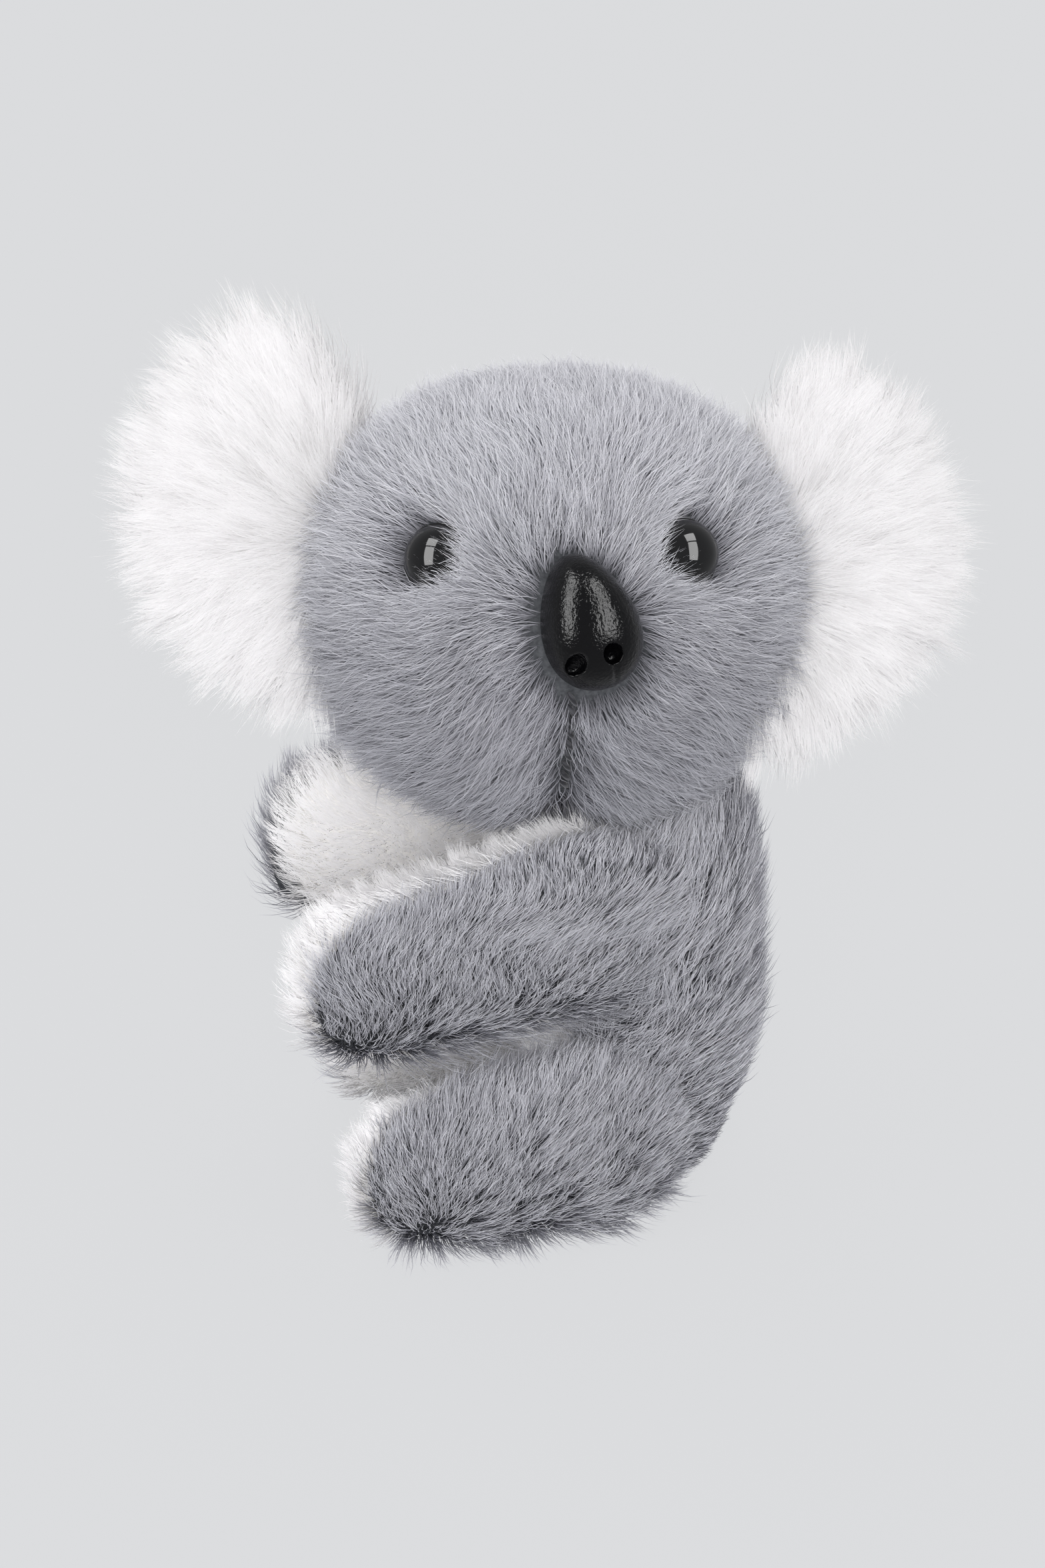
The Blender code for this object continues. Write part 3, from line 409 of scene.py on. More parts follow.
def mixed(tree, factor, first, second):
    """Two colours mixed by factor."""
    node = tree.nodes.new("ShaderNodeMix")
    node.data_type = "RGBA"
    colour_inputs = [socket for socket in node.inputs if socket.type == "RGBA"]
    for socket, value in zip((node.inputs["Factor"], *colour_inputs), (factor, first, second)):
        tree.links.new(value, socket)
    return next(socket for socket in node.outputs if socket.type == "RGBA")


def noise_of(tree, scale, detail=2.0):
    """How noise of this scale varies over a piece, in the piece's own place."""
    noise = tree.nodes.new("ShaderNodeTexNoise")
    noise.inputs["Scale"].default_value = scale
    noise.inputs["Detail"].default_value = detail
    place = tree.nodes.new("ShaderNodeTexCoord").outputs["Object"]
    tree.links.new(place, noise.inputs["Vector"])
    return noise.outputs["Fac"]


def raise_bumps(tree, shader, height, strength, distance):
    bump = tree.nodes.new("ShaderNodeBump")
    bump.inputs["Strength"].default_value = strength
    bump.inputs["Distance"].default_value = distance
    tree.links.new(height, bump.inputs["Height"])
    tree.links.new(bump.outputs["Normal"], shader.inputs["Normal"])


def strand_material(name, dark, light):
    """Pile whose strands run from the dark ramp to the light one across the map, and root to tip up it, with
    painted shade at the root.
    """
    made, tree, shader = shader_of(name, roughness=0.62, specular=0.18)
    place = tree.nodes.new("ShaderNodeUVMap")
    place.uv_map = "OFBake"
    split = tree.nodes.new("ShaderNodeSeparateXYZ")
    tree.links.new(place.outputs["UV"], split.inputs["Vector"])
    along = split.outputs["Y"]
    strand = mixed(tree, split.outputs["X"], ramp(tree, along, dark), ramp(tree, along, light))
    tree.links.new(strand, shader.inputs["Base Color"])
    return made


def backing_material(name, low, high, grain=0.6 * MM):
    """The knitted backing that the pile stands on, mottled and slightly ribbed."""
    made, tree, shader = shader_of(name, roughness=0.95, specular=0.1)
    knit = noise_of(tree, 1.0 / grain, 4.0)
    tree.links.new(ramp(tree, knit, ((0.3, low), (0.7, high))), shader.inputs["Base Color"])
    raise_bumps(tree, shader, knit, 0.4, grain / 2.0)
    return made


def moulded_material(name, colour, roughness, spread, pitch, depth, specular=0.5):
    """Moulded plastic with a fine orange-peel skin and slightly uneven gloss."""
    made, tree, shader = shader_of(name, roughness, specular)
    peel = noise_of(tree, 1.0 / pitch)
    tint = ramp(tree, peel, ((0.3, colour), (0.7, [part * 1.25 for part in colour])))
    tree.links.new(tint, shader.inputs["Base Color"])
    gloss = tree.nodes.new("ShaderNodeMapRange")
    gloss.inputs["To Min"].default_value = roughness - spread
    gloss.inputs["To Max"].default_value = roughness + spread
    tree.links.new(peel, gloss.inputs["Value"])
    tree.links.new(gloss.outputs["Result"], shader.inputs["Roughness"])
    raise_bumps(tree, shader, peel, 1.0, depth)
    return made


def wire_material(name):
    """Bright drawn spring wire with faint marks along it."""
    made, tree, shader = shader_of(name, roughness=0.32)
    shader.inputs["Metallic"].default_value = 1.0
    marks = noise_of(tree, WIRE_MARKS_SCALE)
    tree.links.new(ramp(tree, marks, ((0.3, WIRE_DARK), (0.7, WIRE_LIGHT))), shader.inputs["Base Color"])
    return made


def thread_material(name, low, high):
    """Twisted sewing thread, seen as fine slanting stripes."""
    made, tree, shader = shader_of(name, roughness=0.75, specular=0.2, sheen=0.3)
    place = tree.nodes.new("ShaderNodeTexCoord").outputs["Object"]
    twist = tree.nodes.new("ShaderNodeTexWave")
    twist.bands_direction = "DIAGONAL"
    twist.inputs["Scale"].default_value = THREAD_TWIST_SCALE
    twist.inputs["Distortion"].default_value = 1.5
    tree.links.new(place, twist.inputs["Vector"])
    tree.links.new(ramp(tree, twist.outputs["Fac"], ((0.2, low), (0.8, high))), shader.inputs["Base Color"])
    return made


# Each ramp starts dark at the root: painted shade deep in the pile, on top of the shadows the grey strands
# cast. Dark and light strands across the map are the pile's own tones
GREY_DARK = (
    (0.0, (0.11, 0.11, 0.124)),
    (0.35, (0.24, 0.24, 0.268)),
    (0.75, (0.45, 0.45, 0.495)),
    (1.0, (0.58, 0.58, 0.63)),
)
GREY_LIGHT = (
    (0.0, (0.23, 0.23, 0.255)),
    (0.3, (0.48, 0.48, 0.53)),
    (0.7, (0.79, 0.79, 0.84)),
    (1.0, (0.93, 0.93, 0.96)),
)
# The white strands cast no shadows, so their darker roots are painted shade in place of those shadows
WHITE_DARK = ((0.0, (0.77, 0.75, 0.74)), (0.4, (0.87, 0.86, 0.87)), (1.0, (0.95, 0.94, 0.95)))
WHITE_LIGHT = ((0.0, (0.86, 0.85, 0.84)), (0.4, (0.93, 0.92, 0.93)), (1.0, (0.98, 0.97, 0.98)))
# The ears' white pile is a darker copy of the white ramps: painted shade for the shadows its strands don't
# cast, darkest at the roots
EAR_DARK = ((0.0, (0.51, 0.50, 0.49)), (0.4, (0.64, 0.63, 0.635)), (1.0, (0.85, 0.84, 0.85)))
EAR_LIGHT = ((0.0, (0.63, 0.62, 0.615)), (0.4, (0.78, 0.77, 0.78)), (1.0, (0.94, 0.93, 0.94)))
BLACK = (0.0015, 0.0015, 0.002)


# Skins

# A slant along which no two points of a piece lie level, which sets the order of its points
ORDER_DIRECTION = Vector((0.61, 0.27, 0.74))
# Points nearer to each other, or to a cut, than this are taken as in one place
ONE_PLACE = MM / 1000.0


def in_fixed_order(bm):
    """Points and faces in an order that their places set, as the operators' own differs between runs."""
    verts = sorted(bm.verts, key=lambda vert: vert.co.dot(ORDER_DIRECTION))
    ranks = {vert: rank for rank, vert in enumerate(verts)}
    rings = []
    for face in bm.faces:
        ring = [ranks[vert] for vert in face.verts]
        first = ring.index(min(ring))
        rings.append(ring[first:] + ring[:first])
    return [vert.co.copy() for vert in verts], sorted(rings)


def new_piece(name, bm, finish):
    """Links bm as an object whose place is in its mesh, smooth and facing outwards."""
    bmesh.ops.recalc_face_normals(bm, faces=bm.faces)
    points, faces = in_fixed_order(bm)
    mesh = bpy.data.meshes.new(name)
    mesh.from_pydata(points, [], faces)
    bm.free()
    mesh.materials.append(finish)
    mesh.shade_smooth()
    made = bpy.data.objects.new(name, mesh)
    bpy.context.collection.objects.link(made)
    return made


def oval_point(angle, squareness):
    power = 2.0 / squareness
    return [math.copysign(abs(part) ** power, part) for part in (math.cos(angle), math.sin(angle))]


def stuffed_form(stations, squareness, around=40, along=36):
    """A closed form swept through stations of (middle, half across, half up), from pole to pole."""
    table = np.array([[*middle, *across, *up] for middle, across, up in stations])
    edge = table[:, 0:3] + table[:, 3:6] + table[:, 6:9]
    steps = np.linalg.norm(np.diff(edge, axis=0), axis=1)
    travel = np.concatenate(([0.0], np.cumsum(steps)))
    travel /= travel[-1]
    bm = bmesh.new()
    bmesh.ops.create_uvsphere(bm, u_segments=around, v_segments=along, radius=1.0)
    for vert in bm.verts:
        way = math.acos(max(-1.0, min(1.0, -vert.co.z))) / math.pi
        row = [np.interp(way, travel, column) for column in table.T]
        middle, across, up = Vector(row[0:3]), Vector(row[3:6]), Vector(row[6:9])
        x, y = oval_point(math.atan2(vert.co.y, vert.co.x), squareness)
        if abs(vert.co.z) > 0.99999:
            x = y = 0.0
        vert.co = middle + across * x + up * y
    return bm


def cut_off(bm, place, normal, keep_beyond=False):
    """Cuts off what lies beyond a plane, or before it, and closes the cut."""
    bmesh.ops.bisect_plane(
        bm,
        geom=bm.verts[:] + bm.edges[:] + bm.faces[:],
        dist=ONE_PLACE,
        plane_co=place,
        plane_no=normal,
        clear_inner=keep_beyond,
        clear_outer=not keep_beyond,
    )
    bmesh.ops.holes_fill(bm, edges=[edge for edge in bm.edges if edge.is_boundary])


def half_size(size, share, inset):
    return max(0.0, size / 2.0 * share - inset) if share else 0.0


def body_bm(inset):
    stations = []
    for rise, wide, deep, lean in BODY_SHARES:
        middle = (0.0, BODY_DEPTH / 2.0 * lean, inset / 2.0 + (BODY_HEIGHT - inset * 1.5) * rise)
        half_x, half_y = half_size(BODY_WIDTH, wide, inset), half_size(BODY_DEPTH, deep, inset)
        stations.append((middle, (half_x, 0.0, 0.0), (0.0, half_y, 0.0)))
    return stuffed_form(stations, BODY_SQUARENESS)


def limb_bm(side, limb, inset, tip_bed):
    reach, height, level = LIMBS[limb]
    stations = []
    for way, thick, tall, rise in LIMB_SHARES[limb]:
        y = LIMB_ROOT_Y - (reach - tip_bed + LIMB_ROOT_Y) * way
        middle = (side * LIMB_SPREAD, y, level + height * rise)
        half_x, half_z = half_size(LIMB_THICKNESS, thick, inset), half_size(height, tall, inset)
        stations.append((middle, (half_x, 0.0, 0.0), (0.0, 0.0, half_z)))
    return stuffed_form(stations, LIMB_SQUARENESS, 32, 32)


def head_point(direction, inset):
    """The head's surface along a unit direction in the head's own axes."""
    half = HEAD_SIZE / 2.0 - Vector((inset, inset, inset))
    size = sum(abs(part) ** HEAD_SQUARENESS for part in direction) ** (1.0 / HEAD_SQUARENESS)
    point = Vector(part * length / size for part, length in zip(direction, half))
    muzzle = Vector((0.0, -1.0, -MUZZLE_DROP_SHARE)).normalized()
    off = muzzle.angle(direction) / MUZZLE_SPREAD_SHARE
    return point + muzzle * MUZZLE_SWELL * math.exp(-off * off)


def on_head(x, z, inset=0.0):
    """The place on the face at this x and z, and the way the face looks there, in the head's axes."""

    def place(across, up):
        deep = Vector((across / HEAD_SIZE.x, -0.5, up / HEAD_SIZE.z))
        for _ in range(8):
            found = head_point(deep.normalized(), inset)
            deep.x *= across / found.x if abs(across) > MM / 2.0 else 1.0
            deep.z *= up / found.z if abs(up) > MM / 2.0 else 1.0
        return found

    step = 2.0 * MM
    across = place(x + step, z) - place(x - step, z)
    up = place(x, z + step) - place(x, z - step)
    return place(x, z), across.cross(up).normalized()


def head_bm(inset):
    bm = bmesh.new()
    bmesh.ops.create_uvsphere(bm, u_segments=96, v_segments=64, radius=1.0)
    for vert in bm.verts:
        vert.co = HEAD @ head_point(vert.co.normalized(), inset)
    return bm


def ear_matrix(name):
    side = SIDES[name]
    rise, splay, _, _ = EARS[name]
    place = Vector((side * HEAD_SIZE.x * EAR_SPREAD_SHARE, EAR_SETBACK, rise))
    turn = Euler((0.0, math.radians(side * EAR_LEAN), math.radians(side * splay))).to_matrix().to_4x4()
    return HEAD @ Matrix.Translation(place) @ turn


def ear_bm(name, half, inset):
    """Half of an ear's pad, front or back, flat where it meets the other half."""
    bm = bmesh.new()
    bmesh.ops.create_uvsphere(bm, u_segments=48, v_segments=32, radius=1.0)
    cut_off(bm, (0.0, 0.0, 0.0), (0.0, 1.0 if half == "front" else -1.0, 0.0))
    depth = (EAR_FRONT if half == "front" else EAR_BACK) - inset
    half_wide = (EAR_SIZE.x - EAR_EDGE_BED - EAR_ROOT_BED) / 2.0
    side = SIDES[name]
    shift = side * (EAR_ROOT_BED - EAR_EDGE_BED) / 2.0
    for vert in bm.verts:
        x, y, z = vert.co
        curl = side * z * z * EARS[name][2 if z > 0.0 else 3]
        vert.co = (x * half_wide + shift - curl, y * depth, z * (EAR_SIZE.y / 2.0 - EAR_EDGE_BED))
    bmesh.ops.transform(bm, matrix=ear_matrix(name), verts=bm.verts)
    return bm


# Pile


def surface_samples(skin, count, rng, wanted):
    """Points and normals spread evenly over a skin, as thickly as wanted(points, normals) says."""

    def rows(items, name, kind=float):
        values = np.empty(len(items) * 3, kind)
        items.foreach_get(name, values)
        return values.reshape(-1, 3)

    mesh = skin.data
    mesh.calc_loop_triangles()
    places, normals = rows(mesh.vertices, "co"), rows(mesh.vertices, "normal")
    corners = rows(mesh.loop_triangles, "vertices", int)
    a, b, c = (places[corners[:, i]] for i in range(3))
    area = np.linalg.norm(np.cross(b - a, c - a), axis=1) / 2.0
    share = area * wanted((a + b + c) / 3.0, unit(np.cross(b - a, c - a)))
    picked = rng.choice(len(corners), int(count), p=share / share.sum())
    u, v = rng.random((2, int(count)))
    over = u + v > 1.0
    u[over], v[over] = 1.0 - u[over], 1.0 - v[over]
    weights = np.stack((1.0 - u - v, u, v), axis=1)[:, :, None]
    points = (places[corners[picked]] * weights).sum(axis=1)
    facing = unit((normals[corners[picked]] * weights).sum(axis=1))
    return points, facing, share.sum()


def from_middle(points, moulding):
    """Points in a moulding's own axes, and how far out each lies across it, from 0 to 1 at its edge."""
    matrix, half, taper = moulding
    local = to_world(matrix.inverted(), points)
    wide = half[0] * (1.0 - taper * np.clip(local[:, 1] / half[1], -1.0, 1.0))
    return local, np.hypot(local[:, 0] / wide, local[:, 1] / half[1])


def lifted_off(points, moulding):
    """Points with those inside a moulding moved out to its surface."""
    matrix, half, _ = moulding
    local, off = from_middle(points, moulding)
    above = np.maximum(local[:, 2], 0.0)
    size = np.maximum(np.hypot(off, above / half[2]), 0.05)
    inside = (size < 1.0) & (local[:, 2] > -half[2])
    local[inside, :2] /= size[inside][:, None]
    local[inside, 2] += above[inside] * (1.0 / size[inside] - 1.0)
    return to_world(matrix, local)


def standing(roots, flat, moulding):
    """How far a strand has to stand up, from 0 to 1, because it is combed onto a moulding just past it."""
    matrix, half, _ = moulding
    _, off = from_middle(roots, moulding)
    near = np.exp(-(((off - 1.0) * half[0] / STANDING_REACH) ** 2))
    towards = unit(np.array(matrix.translation) - roots)
    return STANDING_SHARE * near * np.clip((flat * towards).sum(axis=1), 0.0, 1.0)


def nearest_tufts(points, spacing, rng):
    """For each point, the point that leads the tuft it belongs to."""
    leaders = rng.permutation(len(points))[: max(1, len(points) // spacing)]
    tree = KDTree(len(leaders))
    for leader in leaders:
        tree.insert(points[leader], int(leader))
    tree.balance()
    return np.array([tree.find(point)[1] for point in points])


def pile(
    name,
    skin,
    finish,
    seed,
    comb,
    wanted,
    density,
    length,
    tuft,
    gather,
    width=STRAND_WIDTH,
    lean=(38.0, 80.0),
    stray=0.16,
    mottle=0.17,
    length_at=None,
    tone_at=None,
    obstacles=(),
):
    """Grows strands out of a skin.

    comb gives the way the pile lies at each point, wanted how thick it is there, density the strands on a
    square millimetre, tuft how many strands share a tuft, gather how far they draw together, lean the angle
    from upright at the root and at the tip, stray how unevenly they lie, mottle how much their tones differ,
    and obstacles the mouldings that they lie over.
    """
    rng = np.random.default_rng(seed)
    area = surface_samples(skin, 1, rng, wanted)[2]
    roots, normals, _ = surface_samples(skin, area / MM**2 * density, rng, wanted)
    count = len(roots)
    flat = comb(roots)
    flat = unit(flat - normals * (flat * normals).sum(axis=1, keepdims=True))
    across = np.cross(normals, flat)
    waves = unit(rng.normal(0.0, 1.0, (DRIFT_WAVES, 3))) * math.tau / DRIFT_LENGTH
    drift = DRIFT * np.sin(roots @ waves.T + rng.random(DRIFT_WAVES) * math.tau).sum(axis=1)
    swing = (drift + rng.normal(0.0, stray, count))[:, None]
    flat = unit(flat * np.cos(swing) + across * np.sin(swing))
    across = np.cross(normals, flat)
    lengths = length * (1.0 + LENGTH_UNEVENNESS * rng.normal(0.0, 1.0, count).clip(-2.0, 2.0))
    if length_at:
        lengths = lengths * length_at(roots)
    tilt = rng.normal(0.0, stray * LEAN_SHARE, count)
    stand = np.zeros(count)
    for moulding in obstacles:
        stand = np.maximum(stand, standing(roots, flat, moulding))

    path = [roots]
    for joint in range(STRAND_JOINTS):
        share = (joint + 0.5) / STRAND_JOINTS
        angle = np.radians(lean[0] + (lean[1] - lean[0]) * share) * (1.0 - stand * (1.0 - share)) + tilt
        bow = across * (rng.normal(0.0, BOW_SHARE * stray, count) * share)[:, None]
        way = unit(normals * np.cos(angle)[:, None] + flat * np.sin(angle)[:, None] + bow)
        path.append(path[-1] + way * (lengths / STRAND_JOINTS)[:, None])
    path = np.stack(path)

    leaders = nearest_tufts(roots, tuft, rng)
    shares = np.linspace(0.0, 1.0, STRAND_JOINTS + 1)
    draw = gather * (0.5 + rng.random(count))
    for joint, share in enumerate(shares):
        pull = (np.clip(draw, 0.0, GATHER_LIMIT) * share**GATHER_CURVE)[:, None]
        path[joint] += (path[joint][leaders] - path[joint]) * pull
    for moulding in obstacles:
        for joint in range(1, len(path)):
            path[joint] = lifted_off(path[joint], moulding)
    path[:, :, 2] = np.maximum(path[:, :, 2], FLOOR_CLEARANCE)

    ways = unit(path[-1] - path[0])
    first = unit(np.cross(ways, normals))
    second = np.cross(ways, first)
    roll = np.radians(STRAND_ROLL) * (2.0 * rng.random(count) - 1.0)
    side = first * np.cos(roll)[:, None] + second * np.sin(roll)[:, None]
    tone = (tone_at(roots) if tone_at else np.full(count, 0.5)) + rng.normal(0.0, mottle, count)
    tone = np.clip(tone, MAP_MARGIN, 1.0 - MAP_MARGIN)
    tone[0], tone[1] = MAP_MARGIN, 1.0 - MAP_MARGIN
    return strands_mesh(name, path, side, width, tone, normals, finish)


def strands_mesh(name, path, side, width, tone, normals, finish):
    """Flat tapering strands along path, each mapped in a narrow strip from root to tip."""
    joints, count = len(path) - 1, len(tone)
    shares = np.linspace(0.0, 1.0, joints + 1)
    each = 2 * joints + 1
    points = np.empty((count, each, 3))
    places = np.empty((count, each, 2))
    for joint in range(joints):
        half = width / 2.0 * (1.0 - STRAND_TAPER * shares[joint] ** 2)
        for edge, sign in ((0, -1.0), (1, 1.0)):
            points[:, 2 * joint + edge] = path[joint] + side * half * sign
            places[:, 2 * joint + edge, 0] = tone + sign * MAP_HALF_WIDTH
            places[:, 2 * joint + edge, 1] = MAP_MARGIN + (1.0 - 2.0 * MAP_MARGIN) * shares[joint]
    points[:, -1] = path[joints]
    places[:, -1, 0] = tone
    places[:, -1, 1] = 1.0 - MAP_MARGIN
    corners = []
    for joint in range(joints - 1):
        low = 2 * joint
        corners += [low, low + 1, low + 3, low + 2]
    corners += [each - 3, each - 2, each - 1]
    corners = np.array(corners)
    starts = np.arange(count) * each
    loops = (starts[:, None] + corners[None, :]).ravel()
    face_sizes = np.array([4] * (joints - 1) + [3])
    sizes = np.tile(face_sizes, count)

    mesh = bpy.data.meshes.new(name)
    mesh.vertices.add(count * each)
    mesh.vertices.foreach_set("co", points.astype(np.float32).ravel())
    mesh.loops.add(len(loops))
    mesh.loops.foreach_set("vertex_index", loops.astype(np.int32))
    mesh.polygons.add(len(sizes))
    mesh.polygons.foreach_set("loop_start", np.concatenate(([0], np.cumsum(sizes)[:-1])).astype(np.int32))
    mesh.update(calc_edges=True)
    layer = mesh.uv_layers.new(name="OFBake")
    layer.uv.foreach_set("vector", places.reshape(-1, 2)[loops].astype(np.float32).ravel())
    mesh.materials.append(finish)
    mesh.shade_smooth()
    upright = np.repeat(normals, each, axis=0)
    own = np.cross(np.repeat(path[-1] - path[0], each, axis=0), np.repeat(side, each, axis=0))
    own = unit(own) * np.sign((own * upright).sum(axis=1, keepdims=True))
    shading = unit(SKIN_SHADING * upright + (1.0 - SKIN_SHADING) * own)
    mesh.normals_split_custom_set_from_vertices(shading.tolist())
    made = bpy.data.objects.new(name, mesh)
    bpy.context.collection.objects.link(made)
    return made


# Lights, floor and camera


def add_light(name, place, target, upright, size, power, in_gloss):
    """A panel that either shows in gloss, on the pieces named in in_gloss, or lights the toy."""
    data = bpy.data.lights.new(name, "AREA")
    data.shape = "RECTANGLE"
    data.size, data.size_y = size
    data.energy = power
    lamp = bpy.data.objects.new(name, data)
    bpy.context.collection.objects.link(lamp)
    lamp.visible_glossy = bool(in_gloss)
    lamp.visible_diffuse = not in_gloss
    if in_gloss:
        shown = bpy.data.collections.new(f"{name}_shows_in")
        for piece in in_gloss:
            shown.objects.link(bpy.data.objects[piece])
        lamp.light_linking.receiver_collection = shown
    lamp.location = place
    out = (Vector(place) - Vector(target)).normalized()
    across = upright.cross(out).normalized()
    lamp.rotation_euler = Matrix((across, out.cross(across), out)).transposed().to_euler()


def viewing_direction():
    azimuth, elevation = math.radians(CAMERA_AZIMUTH), math.radians(CAMERA_ELEVATION)
    level = math.cos(elevation)
    return Vector((math.sin(azimuth) * level, -math.cos(azimuth) * level, math.sin(elevation)))


def make_camera():
    back = viewing_direction()
    data = bpy.data.cameras.new("photo_camera")
    data.sensor_fit = "VERTICAL"
    data.sensor_height = SENSOR_HEIGHT
    data.lens = SENSOR_HEIGHT * CAMERA_DISTANCE / (PHOTO_HEIGHT * PIXEL_SIZE)
    data.clip_start, data.clip_end = 0.01, 20.0
    camera = bpy.data.objects.new("photo_camera", data)
    bpy.context.collection.objects.link(camera)
    camera.location = CAMERA_TARGET + back * CAMERA_DISTANCE
    camera.rotation_euler = (-back).to_track_quat("-Z", "Y").to_euler()
    bpy.context.scene.camera = camera


BACKGROUND = (0.716, 0.723, 0.738)
FLOOR_EVENNESS = 0.9
WORLD_STRENGTH = 0.40
# How wide a window looks from the toy, and the lowest and highest of each pane, in degrees
WINDOW_WIDTH = 27.0
WINDOW_PANES = {"lower": (-14.0, 36.0), "upper": (39.5, 62.0)}
WINDOW_REACH = 0.95
# Name, degrees to the right of the camera, brightness and the piece whose gloss it shows in
WINDOWS = (
    ("left_window", -36.0, 12.0, "right_eye_dome"),
    ("right_window", 36.0, 12.0, "left_eye_dome"),
    ("left_nose_window", -52.0, 14.0, "nose_egg"),
    ("right_nose_window", 38.0, 14.0, "nose_egg"),
)
# Name, place to the right, above and in front of the toy as the camera sees it, size and power
PANELS = (
    ("front_panel", 0.0, -0.05, 1.50, 0.8, 12.2),
    ("left_panel", -1.0, 0.1, 0.7, 0.8, 2.4),
    ("right_panel", 1.0, 0.1, 0.7, 0.8, 1.8),
    ("top_panel", 0.0, 1.2, 0.3, 1.0, 3.6),
    ("back_left_panel", -1.1, 0.7, -1.1, 1.0, 10.0),
    ("back_right_panel", 1.1, 0.5, -1.1, 1.0, 11.5),
)


def seen_as_background(tree, plain):
    """Shows the even background colour to camera, glossy and transmission rays, and plain to the rest."""
    even = tree.nodes.new("ShaderNodeEmission")
    even.inputs["Color"].default_value = (*BACKGROUND, 1.0)
    ray = tree.nodes.new("ShaderNodeLightPath")
    seen = ray.outputs["Is Camera Ray"]
    for kind in ("Is Glossy Ray", "Is Transmission Ray"):
        either = tree.nodes.new("ShaderNodeMath")
        either.operation = "MAXIMUM"
        tree.links.new(seen, either.inputs[0])
        tree.links.new(ray.outputs[kind], either.inputs[1])
        seen = either.outputs["Value"]
    chosen = tree.nodes.new("ShaderNodeMixShader")
    tree.links.new(seen, chosen.inputs["Fac"])
    tree.links.new(plain, chosen.inputs[1])
    tree.links.new(even.outputs["Emission"], chosen.inputs[2])
    return chosen, seen


def make_floor():
    bm = bmesh.new()
    bmesh.ops.create_grid(bm, x_segments=1, y_segments=1, size=4.0)
    made, tree, shader = shader_of("pale_floor", roughness=0.9, specular=0.1)
    shader.inputs["Base Color"].default_value = (*BACKGROUND, 1.0)
    chosen, seen = seen_as_background(tree, shader.outputs["BSDF"])
    evened = tree.nodes.new("ShaderNodeMath")
    evened.operation = "MULTIPLY"
    evened.inputs[1].default_value = FLOOR_EVENNESS
    tree.links.new(seen, evened.inputs[0])
    tree.links.new(evened.outputs["Value"], chosen.inputs["Fac"])
    tree.links.new(chosen.outputs["Shader"], tree.nodes["Material Output"].inputs["Surface"])
    new_piece("floor", bm, made)


def make_world():
    world = bpy.data.worlds.new("studio")
    bpy.context.scene.world = world
    world.use_nodes = True
    tree = world.node_tree
    light = tree.nodes["Background"]
    light.inputs["Color"].default_value = (1.0, 1.0, 1.0, 1.0)
    light.inputs["Strength"].default_value = WORLD_STRENGTH
    chosen, _ = seen_as_background(tree, light.outputs["Background"])
    tree.links.new(chosen.outputs["Shader"], tree.nodes["World Output"].inputs["Surface"])


def make_lights():
    """Tall windows in two panes each, which show only in the gloss, and the panels that light the toy."""
    back = viewing_direction()
    right = Vector((0.0, 0.0, 1.0)).cross(back).normalized()
    up = back.cross(right)
    wide = 2.0 * WINDOW_REACH * math.tan(math.radians(WINDOW_WIDTH / 2.0))
    for name, turn, brightness, shown in WINDOWS:
        azimuth = math.radians(turn)
        foot = right * math.sin(azimuth) + back * math.cos(azimuth)
        for pane, (low, high) in WINDOW_PANES.items():
            rise = math.radians((low + high) / 2.0)
            tall = 2.0 * WINDOW_REACH * math.tan(math.radians((high - low) / 2.0))
            power = brightness * math.pi * wide * tall
            place = CAMERA_TARGET + (foot * math.cos(rise) + up * math.sin(rise)) * WINDOW_REACH
            add_light(f"{name}_{pane}", place, CAMERA_TARGET, up, (wide, tall), power, (shown,))
    for name, across, height, depth, size, power in PANELS:
        place = CAMERA_TARGET + right * across + up * height + back * depth
        add_light(name, place, CAMERA_TARGET, back - up, (size, size), power, ())


# The toy


def facing(normal):
    """Turns a moulding's own +Z to normal, with its +Y as near the head's up as it goes."""
    across = Vector((0.0, 0.0, 1.0)).cross(normal).normalized()
    return Matrix((across, normal.cross(across), normal)).transposed().to_4x4()


def eye_matrix(name):
    place, normal = on_head(EYE_OFFSET + SIDES[name] * HEAD_SIZE.x * EYE_SPREAD_SHARE / 2.0, EYE_RISE)
    return HEAD @ Matrix.Translation(place - normal * EYE_SINK) @ facing(normal)


def nose_matrix():
    place, normal = on_head(NOSE_OFFSET, -NOSE_DROP)
    lean = Matrix.Rotation(math.radians(NOSE_LEAN), 4, "Z")
    return HEAD @ Matrix.Translation(place - normal * NOSE_SINK) @ facing(normal) @ lean


def add_stem(bm, diameter):
    radius = diameter / 2.0
    bmesh.ops.create_cone(
        bm, cap_ends=True, segments=24, radius1=radius, radius2=radius, depth=STEM_LENGTH,
        matrix=Matrix.Translation((0.0, 0.0, -STEM_LENGTH / 2.0)),
    )


